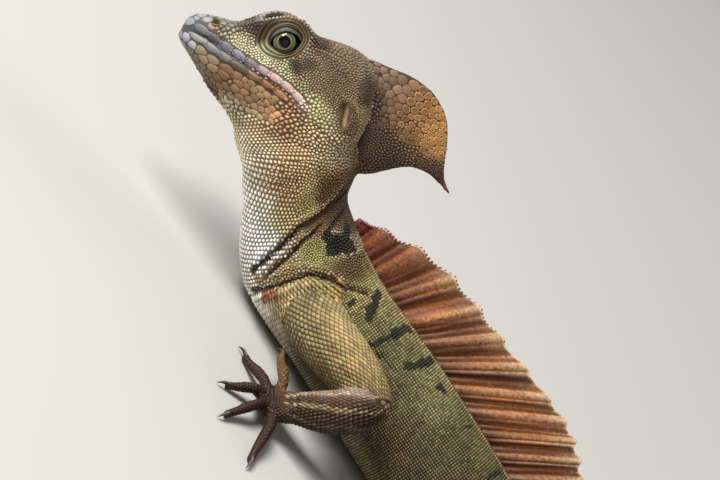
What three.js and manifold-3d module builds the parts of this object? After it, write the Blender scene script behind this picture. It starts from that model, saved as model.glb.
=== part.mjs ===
// A male basilisk lizard at life size, resting on a flat floor with its neck raised and its head bent
// down and turned to its left. Millimetres, +Z up. The snout points to -X and the animal's left is -Y.
import * as THREE from "three";
import { mergeVertices } from "three/addons/utils/BufferGeometryUtils.js";
import Module from "manifold-3d";

const wasm = await Module();
wasm.setup();

// Driving dimensions
const GAP = 0.3; // free space between nodes that touch
const BODY_ROLL = 6; // degrees, the back leans to the animal's right
const SAIL_LEAN = 12; // degrees from upright, to the right
const HEAD_ORIGIN = [-31.3, -5, 42.5]; // midline point level with the corner of the mouth
const HEAD_YAW = 22; // degrees to the left
const HEAD_PITCH = 19; // degrees nose down
const HEAD_ROLL = 22; // degrees, the crown leans to the right
const EYE_RADIUS = 4.5;
const EYE_AT = [11.4, 6.6, 11.4]; // forward, left and up from the head's origin
const LID_THICKNESS = 0.8;
const EYE_OPENING = { long: 4.1, high: 3.0, slant: 30 }; // half sizes, and degrees up towards the rear
const TAIL_LENGTH = 477;
const TRUNK_SIDES = 20;
const TAIL_SIDES = 10;
const LIMB_SIDES = 10;
const DIGIT_SIDES = 6;
const CLAW_SIDES = 5;

const radians = THREE.MathUtils.degToRad;
const vector = (p) => new THREE.Vector3(...p);

// Smooth values between the rows of a table whose first column rises or falls steadily.
function readTable(rows, at) {
  const rising = rows[rows.length - 1][0] > rows[0][0];
  let i = rows.findIndex((r) => (rising ? r[0] >= at : r[0] <= at));
  if (i <= 0) return (i === 0 ? rows[0] : rows[rows.length - 1]).slice(1);
  const [a, b] = [rows[i - 1], rows[i]];
  const before = rows[Math.max(i - 2, 0)];
  const after = rows[Math.min(i + 1, rows.length - 1)];
  const span = b[0] - a[0];
  const t = (at - a[0]) / span;
  return a.slice(1).map((value, k) => {
    const c = k + 1;
    const slopeA = ((b[c] - before[c]) / (b[0] - before[0])) * span;
    const slopeB = ((after[c] - a[c]) / (after[0] - a[0])) * span;
    const t2 = t * t;
    const t3 = t2 * t;
    return (
      (2 * t3 - 3 * t2 + 1) * value +
      (t3 - 2 * t2 + t) * slopeA +
      (3 * t2 - 2 * t3) * b[c] +
      (t3 - t2) * slopeB
    );
  });
}

// A closed surface through rings of points, each end closed by a fan to a point a little beyond it.
function loft(rings, endBulge = 0) {
  const sides = rings[0].length;
  const positions = rings.flat().flatMap((p) => [p.x, p.y, p.z]);
  const faces = [];
  for (let r = 0; r + 1 < rings.length; r += 1) {
    for (let s = 0; s < sides; s += 1) {
      const [a, b] = [r * sides + s, r * sides + ((s + 1) % sides)];
      faces.push(a, b, b + sides, a, b + sides, a + sides);
    }
  }
  const mean = (ring) =>
    ring.reduce((sum, p) => sum.add(p), new THREE.Vector3()).divideScalar(sides);
  for (const [first, inner, offset] of [
    [rings[0], rings[1], 0],
    [rings.at(-1), rings.at(-2), (rings.length - 1) * sides],
  ]) {
    const middle = mean(first);
    const outward = middle.clone().sub(mean(inner)).normalize();
    middle.addScaledVector(outward, endBulge);
    const hub = positions.length / 3;
    positions.push(middle.x, middle.y, middle.z);
    for (let s = 0; s < sides; s += 1) {
      const [a, b] = [offset + s, offset + ((s + 1) % sides)];
      faces.push(...(offset ? [a, b, hub] : [b, a, hub]));
    }
  }
  return facingOut(positions, faces);
}

// The arrays of a closed mesh, with its faces turned round where they point inwards.
function facingOut(positions, faces) {
  let volume = 0;
  const at = (i) => new THREE.Vector3().fromArray(positions, i * 3);
  for (let i = 0; i < faces.length; i += 3) {
    const [a, b, c] = [at(faces[i]), at(faces[i + 1]), at(faces[i + 2])];
    volume += a.dot(b.cross(c));
  }
  if (volume < 0) {
    for (let i = 0; i < faces.length; i += 3) {
      [faces[i], faces[i + 1]] = [faces[i + 1], faces[i]];
    }
  }
  return { positions, faces };
}

const solid = ({ positions, faces }) =>
  new wasm.Manifold(
    new wasm.Mesh({
      numProp: 3,
      vertProperties: new Float32Array(positions),
      triVerts: new Uint32Array(faces),
    }),
  );

// The same surface moved outwards by a distance, to cut a neighbour back from it.
function grown({ positions, faces }, distance) {
  const geometry = new THREE.BufferGeometry();
  geometry.setAttribute("position", new THREE.Float32BufferAttribute(positions, 3));
  geometry.setIndex(faces);
  geometry.computeVertexNormals();
  const normals = geometry.attributes.normal.array;
  return { positions: positions.map((p, i) => p + normals[i] * distance), faces };
}

// A thin body between two faces whose grids are split alike. at(i, j) gives the point midway between
// the faces, the way to the near face and half the thickness there.
function plate(columns, rows, at) {
  const positions = [];
  for (const face of [1, -1]) {
    for (let i = 0; i <= columns; i += 1) {
      for (let j = 0; j <= rows; j += 1) {
        const { middle, out, thick } = at(i, j);
        positions.push(...middle.clone().addScaledVector(out, face * thick).toArray());
      }
    }
  }
  const width = rows + 1;
  const other = width * (columns + 1);
  const faces = [];
  for (let i = 0; i < columns; i += 1) {
    for (let j = 0; j < rows; j += 1) {
      const a = i * width + j;
      const [b, c, d] = [a + width, a + width + 1, a + 1];
      faces.push(a, b, c, a, c, d);
      faces.push(other + a, other + c, other + b, other + a, other + d, other + c);
    }
  }
  const edge = (a, b) => faces.push(a, a + other, b + other, a, b + other, b);
  for (let i = 0; i < columns; i += 1) {
    edge(i * width, (i + 1) * width);
    edge((i + 1) * width + rows, i * width + rows);
  }
  for (let j = 0; j < rows; j += 1) {
    edge(j + 1, j);
    edge(columns * width + j, columns * width + j + 1);
  }
  return facingOut(positions, faces);
}

function solidOfGeometry(geometry) {
  const bare = geometry.clone().deleteAttribute("normal").deleteAttribute("uv");
  const merged = mergeVertices(bare, 1e-4);
  return solid(facingOut([...merged.attributes.position.array], [...merged.index.array]));
}

const union = (solids) => solids.reduce((sum, s) => sum.add(s));
const largest = (s) => s.decompose().sort((a, b) => b.volume() - a.volume())[0];
const aboveFloor = (s) => s.trimByPlane([0, 0, 1], 0);

// Keeps what lies on the side of a plane that its normal points to, half a gap back from it.
function keepAhead(s, point, normal) {
  const n = normal.clone().normalize();
  return s.trimByPlane(n.toArray(), n.dot(point) + GAP / 2);
}
const keepBehind = (s, point, normal) => keepAhead(s, point, normal.clone().negate());

// The head's own frame: forward, left and up seen from the animal.
function headFrame() {
  const forward = new THREE.Vector3(-1, 0, 0);
  const left = new THREE.Vector3(0, -1, 0);
  const up = new THREE.Vector3(0, 0, 1);
  for (const [axis, angle] of [
    [up, HEAD_YAW],
    [left, HEAD_PITCH],
    [forward, HEAD_ROLL],
  ]) {
    const turn = new THREE.Quaternion().setFromAxisAngle(axis.clone(), radians(angle));
    [forward, left, up].forEach((v) => v.applyQuaternion(turn));
  }
  const toFloor = (f, l, u) =>
    vector(HEAD_ORIGIN).addScaledVector(forward, f).addScaledVector(left, l).addScaledVector(up, u);
  return { forward, left, up, toFloor };
}
const head = headFrame();

// One ring of an oval section that may be deeper above its widest level than below.
function ovalRing({ centre, up, side, rise, drop, half }, sides) {
  return Array.from({ length: sides }, (_, i) => {
    const a = (2 * Math.PI * i) / sides;
    const vertical = Math.cos(a) * (Math.cos(a) > 0 ? rise : drop);
    return centre.clone().addScaledVector(up, vertical).addScaledVector(side, half * Math.sin(a));
  });
}

// Neck and trunk
// Sections from inside the head to the root of the tail. Each gives its widest level's centre, the way
// its top points, how far it rises, drops and spreads from there, and its share of the head's turn.
const NECK_TWIST = 0.3; // how far the nape leans to the right where it meets the head
function trunkStations() {
  const stations = [];
  const roll = radians(BODY_ROLL);
  const bodySide = new THREE.Vector3(0, -Math.cos(roll), Math.sin(roll));
  for (const [f, u, napeF, napeU, rise, drop, half, turned] of [
    [1.5, 0.5, -0.72, 0.69, 12.5, 14.5, 8.6, 1],
    [-2.4, -4.6, -0.76, 0.65, 14.5, 15.6, 10.6, 0.95],
    [-6.0, -9.0, -0.83, 0.55, 15.6, 15.6, 11.8, 0.85],
    [-10.6, -14.3, -0.9, 0.42, 14.6, 15.5, 11.8, 0.7],
  ]) {
    const up = head.forward.clone().multiplyScalar(napeF).addScaledVector(head.up, napeU);
    const side = bodySide.clone().lerp(head.left, turned);
    stations.push({ centre: head.toFloor(f, 0, u), up, side, rise, drop, half });
  }
  for (const [x, y, z, tilt, rise, drop, half, turned] of [
    [-9.6, -2.2, 27.0, 27, 13.2, 14.6, 11.4, 0.74],
    [-4.0, -0.8, 21.5, 18, 15.6, 15.4, 12.0, 0.5],
    [3.0, 0, 16.5, 10, 18.6, 15.0, 13.0, 0.28],
    [12.0, 0, 14.6, 5, 19.0, 13.8, 14.4, 0.1],
    [24.0, 0, 13.8, 0, 19.0, 12.8, 15.0, 0],
    [42.0, 0, 13.4, 0, 20.0, 13.0, 15.8, 0],
    [62.0, 0, 13.0, 0, 20.0, 13.2, 17.2, 0],
    [82.0, 0, 13.0, 0, 19.0, 13.2, 17.4, 0],
    [102.0, 0, 13.6, 0, 16.6, 12.4, 14.6, 0],
    [118.0, 0, 14.4, -3, 13.6, 10.4, 12.2, 0],
    [132.0, 0, 14.2, -4, 11.4, 8.6, 10.6, 0],
    [143.0, 0.4, 13.3, -5, 10.0, 8.2, 9.4, 0],
  ]) {
    const lean = radians(tilt);
    const aside = Math.sin(roll) + NECK_TWIST * turned;
    const up = new THREE.Vector3(Math.sin(lean), aside, Math.cos(lean)).normalize();
    const side = bodySide.clone().lerp(head.left, turned);
    stations.push({ centre: vector([x, y, z]), up, side, rise, drop, half });
  }
  return stations;
}

// A section at a fractional place in the list of stations.
function stationAt(stations, place) {
  const asRows = stations.map((s, i) => [
    i,
    ...s.centre.toArray(),
    ...s.up.toArray(),
    ...s.side.toArray(),
    s.rise,
    s.drop,
    s.half,
  ]);
  const v = readTable(asRows, place);
  const up = vector(v.slice(3, 6)).normalize();
  const side = vector(v.slice(6, 9));
  side.addScaledVector(up, -side.dot(up)).normalize();
  return { centre: vector(v.slice(0, 3)), up, side, rise: v[9], drop: v[10], half: v[11] };
}

const TRUNK = trunkStations();
const RINGS_PER_STATION = 2;
function trunkMesh() {
  const count = (TRUNK.length - 1) * RINGS_PER_STATION;
  const rings = Array.from({ length: count + 1 }, (_, i) =>
    ovalRing(stationAt(TRUNK, i / RINGS_PER_STATION), TRUNK_SIDES),
  );
  return loft(rings);
}

// The point of the back at a place along X, found between the torso's stations.
const FIRST_TORSO_STATION = 6;
function backAt(x) {
  let place = FIRST_TORSO_STATION;
  const step = 0.02;
  while (place < TRUNK.length - 1 && stationAt(TRUNK, place).centre.x < x) place += step;
  const s = stationAt(TRUNK, place);
  return s.centre.clone().addScaledVector(s.up, s.rise);
}

// Tail
// The tail comes down to the floor behind the hips and lies in an open S.
const TAIL_WAY = [
  [139, 0],
  [175, 3],
  [215, 14],
  [262, 34],
  [312, 50],
  [365, 52],
  [418, 36],
  [468, 12],
  [515, -4],
  [560, -6],
  [600, 4],
];
const TAIL_BASE_HEIGHT = 13.6;
const TAIL_ON_FLOOR_FROM = 80;
const SUNK = 0.25; // how far a resting surface is cut flat
const tailCurve = new THREE.CatmullRomCurve3(TAIL_WAY.map(([x, y]) => new THREE.Vector3(x, y, 0)));

const tailRadius = (share) => 0.6 + 8.9 * (1 - share) ** 1.6;
function tailSection(share) {
  const s = share * TAIL_LENGTH;
  const radius = tailRadius(share);
  const lift = 1 - THREE.MathUtils.smoothstep(s, 0, TAIL_ON_FLOOR_FROM);
  const resting = radius - SUNK;
  const centre = tailCurve.getPointAt(share);
  centre.z = resting + (TAIL_BASE_HEIGHT - resting) * lift;
  const along = tailCurve.getTangentAt(share);
  const side = new THREE.Vector3(along.y, -along.x, 0).normalize();
  const up = new THREE.Vector3(0, 0, 1);
  return { centre, up, side, along, rise: radius * 1.04, drop: radius, half: radius * 0.9 };
}

const TAIL_RINGS = 36;
const tailMesh = () =>
  loft(
    Array.from({ length: TAIL_RINGS + 1 }, (_, i) =>
      ovalRing(tailSection(i / TAIL_RINGS), TAIL_SIDES),
    ),
    0.8,
  );

// Head
// Lines that run from the snout back along each side of the head: forward, out and up.
const CROWN = [
  [34.7, 0, 4.3],
  [33.2, 0, 6.3],
  [30, 0, 7.8],
  [26, 0, 9.0],
  [22, 0, 10.1],
  [18, 0, 12.0],
  [14, 0, 14.3],
  [10, 0, 15.6],
  [5, 0, 16.7],
  [0, 0, 18.2],
  [-5, 0, 19.3],
  [-10, 0, 19.2],
  [-15, 0, 15.0],
  [-18.5, 0, 8.5],
];
const BROW = [
  [34.7, 0.9, 4.0],
  [33.2, 2.0, 5.7],
  [30, 2.9, 7.1],
  [26, 3.9, 8.4],
  [22, 5.2, 10.0],
  [19, 6.9, 12.6],
  [16, 8.3, 16.0],
  [13, 8.9, 17.9],
  [10, 8.9, 18.4],
  [7, 8.5, 17.7],
  [4, 7.9, 16.7],
  [0, 7.5, 16.6],
  [-5, 7.2, 16.8],
  [-10, 6.6, 16.2],
  [-15, 5.0, 12.2],
  [-18.5, 2.6, 7.0],
];
const CHEEK = [
  [34.7, 1.2, 3.0],
  [33.2, 2.7, 4.2],
  [30, 3.9, 5.1],
  [26, 4.9, 5.8],
  [22, 5.9, 6.8],
  [18, 7.4, 7.8],
  [14, 9.1, 8.6],
  [10, 10.1, 8.6],
  [6, 10.9, 8.8],
  [2, 11.7, 8.8],
  [-3, 12.5, 8.4],
  [-8, 13.3, 7.0],
  [-12, 13.2, 5.6],
  [-15, 11.4, 3.6],
  [-18.5, 6.4, 0.5],
];
const LIPS = [
  [34.7, 1.2, 0.9],
  [33.2, 2.9, 1.0],
  [30, 4.3, 1.8],
  [26, 5.4, 2.0],
  [20, 7.1, 1.9],
  [12, 9.5, 1.5],
  [5, 11.3, 1.3],
  [0, 12.3, 0.2],
  [-5, 12.9, -0.8],
  [-10, 13.0, -1.3],
  [-15, 11.0, -2.2],
  [-18.5, 6.4, -3.2],
];
const JAW = [
  [34.7, 1.0, -0.2],
  [33.2, 2.3, -1.0],
  [30, 3.5, -2.3],
  [26, 4.5, -3.6],
  [22, 5.5, -4.7],
  [18, 6.5, -5.6],
  [12, 7.9, -7.0],
  [6, 9.3, -9.0],
  [0, 10.5, -10.6],
  [-6, 11.0, -10.4],
  [-12, 9.8, -9.0],
  [-15, 8.0, -7.4],
  [-18.5, 4.0, -5.4],
];
const CHIN = [
  [34.7, 0, -0.9],
  [33.2, 0, -2.1],
  [30, 0, -3.7],
  [26, 0, -5.9],
  [22, 0, -8.0],
  [18, 0, -9.8],
  [13, 0, -12.0],
  [8, 0, -15.2],
  [3, 0, -18.0],
  [-3, 0, -18.5],
  [-9, 0, -16.0],
  [-15, 0, -10.5],
  [-18.5, 0, -6.5],
];
const MOUTH_GROOVE = { half: 0.42, deep: 0.75, fadeFrom: -3, fadeOver: 3 };
const HEAD_STATIONS = [
  34.7, 34.1, 33.2, 31.5, 29.5, 27, 24.5, 22.2, 20.2, 18.2, 16.4, 14.6, 12.8, 11, 9.2, 7.2, 5, 2.5, 0,
  -2.5, -5, -7.5, -10, -13, -16, -18.5,
];

// A smooth run of points from one side point to the next across the head, between two fixed ones.
function across(points, counts) {
  const curve = (i, t) => {
    const rows = points.map((p, k) => [k, ...p]);
    return readTable(rows, i + t);
  };
  return counts.flatMap((count, i) =>
    Array.from({ length: count }, (_, k) => curve(i, k / count)),
  );
}

function headRing(f) {
  const [crown, brow, cheek, lip, jaw, chin] = [CROWN, BROW, CHEEK, LIPS, JAW, CHIN].map((line) =>
    readTable(line, f),
  );
  const open = THREE.MathUtils.clamp(
    (f - MOUTH_GROOVE.fadeFrom + MOUTH_GROOVE.fadeOver) / MOUTH_GROOVE.fadeOver,
    0.12,
    1,
  );
  const slit = Math.min(MOUTH_GROOVE.half, lip[0] * 0.3);
  const upperLip = [lip[0], lip[1] + slit];
  const lowerLip = [lip[0] - 0.12, lip[1] - slit];
  const groove = [lip[0] - Math.min(MOUTH_GROOVE.deep * open, lip[0] * 0.5), lip[1]];
  const mirroredCheek = [-brow[0], brow[1]];
  const upper = across([mirroredCheek, crown, brow, cheek, upperLip], [0, 3, 4, 3]);
  const lower = across([lowerLip, jaw, chin, [-jaw[0], jaw[1]]], [3, 3, 0]);
  const half = [...upper, upperLip, groove, ...lower, chin];
  const full = [...half, ...half.slice(1, -1).reverse().map(([l, u]) => [-l, u])];
  return full.map(([l, u]) => head.toFloor(f, l, u));
}

const headMesh = () => loft(HEAD_STATIONS.map(headRing), 0.15);

function ball(centre, radius, across, around) {
  const geometry = new THREE.SphereGeometry(radius, across, around);
  geometry.rotateX(Math.PI / 2);
  geometry.translate(...centre.toArray());
  return solidOfGeometry(geometry);
}

// Places a shape made along X forward, Y left and Z up into the head's frame at a point of the head.
function intoHead(geometry, f, l, u) {
  const basis = new THREE.Matrix4().makeBasis(head.forward, head.left, head.up);
  geometry.applyMatrix4(basis);
  return solidOfGeometry(geometry.translate(...head.toFloor(f, l, u).toArray()));
}

// The lids round the eyeball, its socket, and the slanting almond between the lids.
function eyeCuts(side) {
  const [f, l, u] = EYE_AT;
  const centre = head.toFloor(f, l * side, u);
  const lids = ball(centre, EYE_RADIUS + GAP + LID_THICKNESS, 14, 8);
  const socket = ball(centre, EYE_RADIUS + GAP, 14, 8);
  const { long, high, slant } = EYE_OPENING;
  const bow = (long * long + high * high) / (2 * high);
  const reach = 8;
  const rim = (way) => {
    const arc = new THREE.CylinderGeometry(bow * 1.12, bow * 0.88, reach, 16);
    arc.scale(1, side, 1).translate(0, 0, way * (bow - high)).rotateY(radians(slant));
    return intoHead(arc, f, side * (l + 1.5 + reach / 2), u);
  };
  return { lids, socket, opening: rim(1).intersect(rim(-1)), centre };
}

const EAR = { at: [-10.6, 3.6], long: 3.9, wide: 2.0, deep: 1.3, slant: 28, out: 13.4 };
const NOSTRIL = { at: [28.4, 7.0], radius: 0.85, deep: 1.6, out: 3.6 };
function headPits(side) {
  const ear = new THREE.SphereGeometry(1, 14, 8).scale(EAR.wide, EAR.deep, EAR.long);
  ear.rotateY(radians(EAR.slant));
  const { radius, deep } = NOSTRIL;
  const nostril = new THREE.SphereGeometry(1, 10, 6).scale(radius * 1.3, deep, radius);
  return [
    intoHead(ear, EAR.at[0], side * EAR.out, EAR.at[1]),
    intoHead(nostril, NOSTRIL.at[0], side * NOSTRIL.out, NOSTRIL.at[1]),
  ];
}

// Crest of the head
// A rounded lobe that stands up from the back of the skull, thin from side to side, with a small
// hanging point behind. Rows of its upper and lower outline from root to point: forward and up.
const CREST_UPPER = [
  [0, -4.0, 17.6],
  [1, -11.6, 19.6],
  [2, -17.3, 20.4],
  [3, -23.0, 21.3],
  [4, -28.5, 21.0],
  [5, -33.5, 19.2],
  [6, -37.6, 16.0],
  [7, -40.6, 11.4],
  [8, -43.0, 6.0],
  [9, -45.2, 2.6],
  [10, -48.4, 0.4],
];
const CREST_LOWER = [
  [0, -6.0, 6.0],
  [1, -10.0, 0.0],
  [2, -15.0, -6.0],
  [3, -22.0, -8.6],
  [4, -26.4, -7.0],
  [5, -30.0, -3.8],
  [6, -33.6, -0.6],
  [7, -37.0, 1.0],
  [8, -41.0, 1.3],
  [9, -44.6, 0.4],
  [10, -48.2, -0.8],
];
const CREST_HALF = [
  [0, 5.0],
  [2, 4.2],
  [4, 2.9],
  [6, 1.7],
  [8, 1.0],
  [10, 0.55],
];
const CREST_COLUMNS = 18;
const CREST_ROWS = 5;
function crestMesh() {
  return plate(CREST_COLUMNS, CREST_ROWS, (i, j) => {
    const place = (i / CREST_COLUMNS) * 10;
    const [upper, lower] = [readTable(CREST_UPPER, place), readTable(CREST_LOWER, place)];
    const [half] = readTable(CREST_HALF, place);
    const v = j / CREST_ROWS;
    const [f, u] = [0, 1].map((k) => upper[k] + (lower[k] - upper[k]) * v);
    const thick = half * Math.sqrt(4 * v * (1 - v)) * (0.62 + 0.38 * v);
    return { middle: head.toFloor(f, 0, u), out: head.left, thick: Math.max(thick, 0.42) };
  });
}

// Sail of the back and crest of the tail
// A thin pleated membrane on bony rays. It has four columns for each ray, and rayAt gives a ray's
// foot on the animal and its tip.
const PLEAT = 0.5; // sideways wave of the membrane between rays
const MEMBRANE = 0.34; // half its thickness
const RIDGE = 0.42; // how far a ray stands out on each face
const COLUMNS_PER_RAY = 4;
function membrane(rays, rows, rayAt) {
  const columns = rays * COLUMNS_PER_RAY;
  return plate(columns, rows, (i, j) => {
    const { foot, tip, out } = rayAt(i / columns, i / COLUMNS_PER_RAY);
    const phase = (2 * Math.PI * i) / COLUMNS_PER_RAY;
    const onRay = (1 + Math.cos(phase)) / 2;
    const v = j / rows;
    const wave = PLEAT * Math.sin(phase) * Math.sin(Math.PI * Math.min(v * 0.75, 0.62));
    const thick = (MEMBRANE + RIDGE * onRay ** 2) * (1 - 0.38 * v);
    return { middle: foot.clone().lerp(tip, v).addScaledVector(out, wave), out, thick };
  });
}

const SAIL_FROM = 3.5;
const SAIL_TO = 121;
const SAIL_RAYS = 17;
const SAIL_ROOT = 2.2; // how far its foot is sunk into the back
const SCALLOP = 1.5; // how far the edge dips between two rays
// Place along the back, the ray's angle above the tail's direction, and its length.
const SAIL_SHAPE = [
  [3.5, 104, 1.6],
  [8, 103, 5.2],
  [14, 92, 10.2],
  [20, 80, 14.8],
  [27, 69, 18.0],
  [35, 59, 20.2],
  [42, 54, 21.8],
  [50, 48, 25.2],
  [60, 47, 26.2],
  [73, 49, 22.6],
  [86, 50, 17.0],
  [98, 51, 12.0],
  [110, 53, 6.4],
  [121, 56, 1.8],
];
const edgeDip = (ray, depth) => depth * (0.5 - 0.5 * Math.cos(2 * Math.PI * ray)) ** 0.7;
function sailRay(share, ray) {
  const x = SAIL_FROM + (SAIL_TO - SAIL_FROM) * share;
  const [angle, length] = readTable(SAIL_SHAPE, x);
  const lean = radians(SAIL_LEAN);
  const rise = new THREE.Vector3(0, Math.sin(lean), Math.cos(lean));
  const out = new THREE.Vector3(0, -Math.cos(lean), Math.sin(lean));
  const way = rise.clone().multiplyScalar(Math.sin(radians(angle)));
  way.x = Math.cos(radians(angle));
  const back = backAt(x);
  const tall = Math.max(length - edgeDip(ray, SCALLOP) * Math.min(1, length / 10), 0.8);
  const foot = back.clone().addScaledVector(rise, -SAIL_ROOT);
  const tip = back.clone().addScaledVector(way, tall);
  return { foot, tip, out };
}

const TAIL_CREST_FROM = 0.012;
const TAIL_CREST_TO = 0.37;
const TAIL_CREST_RAYS = 17;
const TAIL_CREST_HEIGHT = 12.5;
const TAIL_CREST_ANGLE = 58;
function tailCrestRay(share, ray) {
  const s = tailSection(TAIL_CREST_FROM + (TAIL_CREST_TO - TAIL_CREST_FROM) * share);
  const height = TAIL_CREST_HEIGHT * Math.sin(Math.PI * share ** 0.62) ** 0.75;
  const tall = Math.max(height - edgeDip(ray, SCALLOP * 0.7) * Math.min(1, height / 8), 0.8);
  const top = s.centre.clone().addScaledVector(s.up, s.rise);
  const angle = radians(TAIL_CREST_ANGLE);
  const way = s.up.clone().multiplyScalar(Math.sin(angle)).addScaledVector(s.along, Math.cos(angle));
  return {
    foot: top.clone().addScaledVector(s.up, -SAIL_ROOT * 0.8),
    tip: top.addScaledVector(way, tall),
    out: s.side.clone(),
  };
}

// Limbs
// A tube through points given as x, y, z, half width and half thickness, with rounded ends.
function tube(points, sides, steps) {
  const rows = points.map((p, i) => [i, ...p]);
  const last = points.length - 1;
  const rings = [];
  for (let i = 0; i <= steps; i += 1) {
    const t = (i / steps) * last;
    const [x, y, z, wide, thick] = readTable(rows, t);
    const ahead = vector(readTable(rows, Math.min(t + 0.05, last)).slice(0, 3));
    const behind = vector(readTable(rows, Math.max(t - 0.05, 0)).slice(0, 3));
    const along = ahead.sub(behind).normalize();
    const side = new THREE.Vector3(0, 0, 1).cross(along).normalize();
    const up = along.clone().cross(side);
    const centre = vector([x, y, z]);
    const ring = { centre, up, side, rise: thick, drop: thick, half: wide };
    const shrunk = { ...ring, rise: thick * 0.7, drop: thick * 0.7, half: wide * 0.7 };
    const cap = (way) => ({
      ...shrunk,
      centre: centre.clone().addScaledVector(along, way * Math.min(wide, thick) * 0.7),
    });
    if (i === 0) rings.push(ovalRing(cap(-1), sides));
    rings.push(ovalRing(ring, sides));
    if (i === steps) rings.push(ovalRing(cap(1), sides));
  }
  const endThickness = points.at(-1)[4];
  return loft(rings, endThickness * 0.22);
}

// A digit runs from its knuckle in a low arch to its tip and ends in a hooked claw. The tip lies on
// the floor, or as high above it as its third number says.
const CLAW_LENGTH = 3.6;
function digit(knuckle, tip, arch, girth) {
  const from = vector(knuckle);
  const [tipX, tipY, raised = 0] = tip;
  const to = vector([tipX, tipY, raised + 1.0]);
  const point = (t, lift) => {
    const p = from.clone().lerp(to, t);
    p.z += lift;
    return p.toArray();
  };
  const finger = tube(
    [
      [...point(0, 0), girth * 1.1, girth * 1.1],
      [...point(0.3, arch), girth * 0.86, girth * 0.9],
      [...point(0.55, arch * 0.7), girth * 0.9, girth * 0.92],
      [...point(0.8, arch * 0.15), girth * 0.68, girth * 0.72],
      [...point(1, 0.1), girth * 0.6, girth * 0.72],
    ],
    DIGIT_SIDES,
    4,
  );
  const ahead = to.clone().sub(from).setZ(0).normalize();
  const claw = tube(
    [
      [...to.clone().addScaledVector(ahead, -0.6).setZ(raised + 1.25).toArray(), 0.55, 0.75],
      [...to.clone().addScaledVector(ahead, CLAW_LENGTH * 0.4).setZ(raised + 1.5).toArray(), 0.46, 0.62],
      [...to.clone().addScaledVector(ahead, CLAW_LENGTH * 0.75).setZ(raised + 0.95).toArray(), 0.34, 0.42],
      [...to.clone().addScaledVector(ahead, CLAW_LENGTH).setZ(raised + 0.35).toArray(), 0.25, 0.25],
    ],
    CLAW_SIDES,
    2,
  );
  return [solid(finger), solid(claw)];
}

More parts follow.
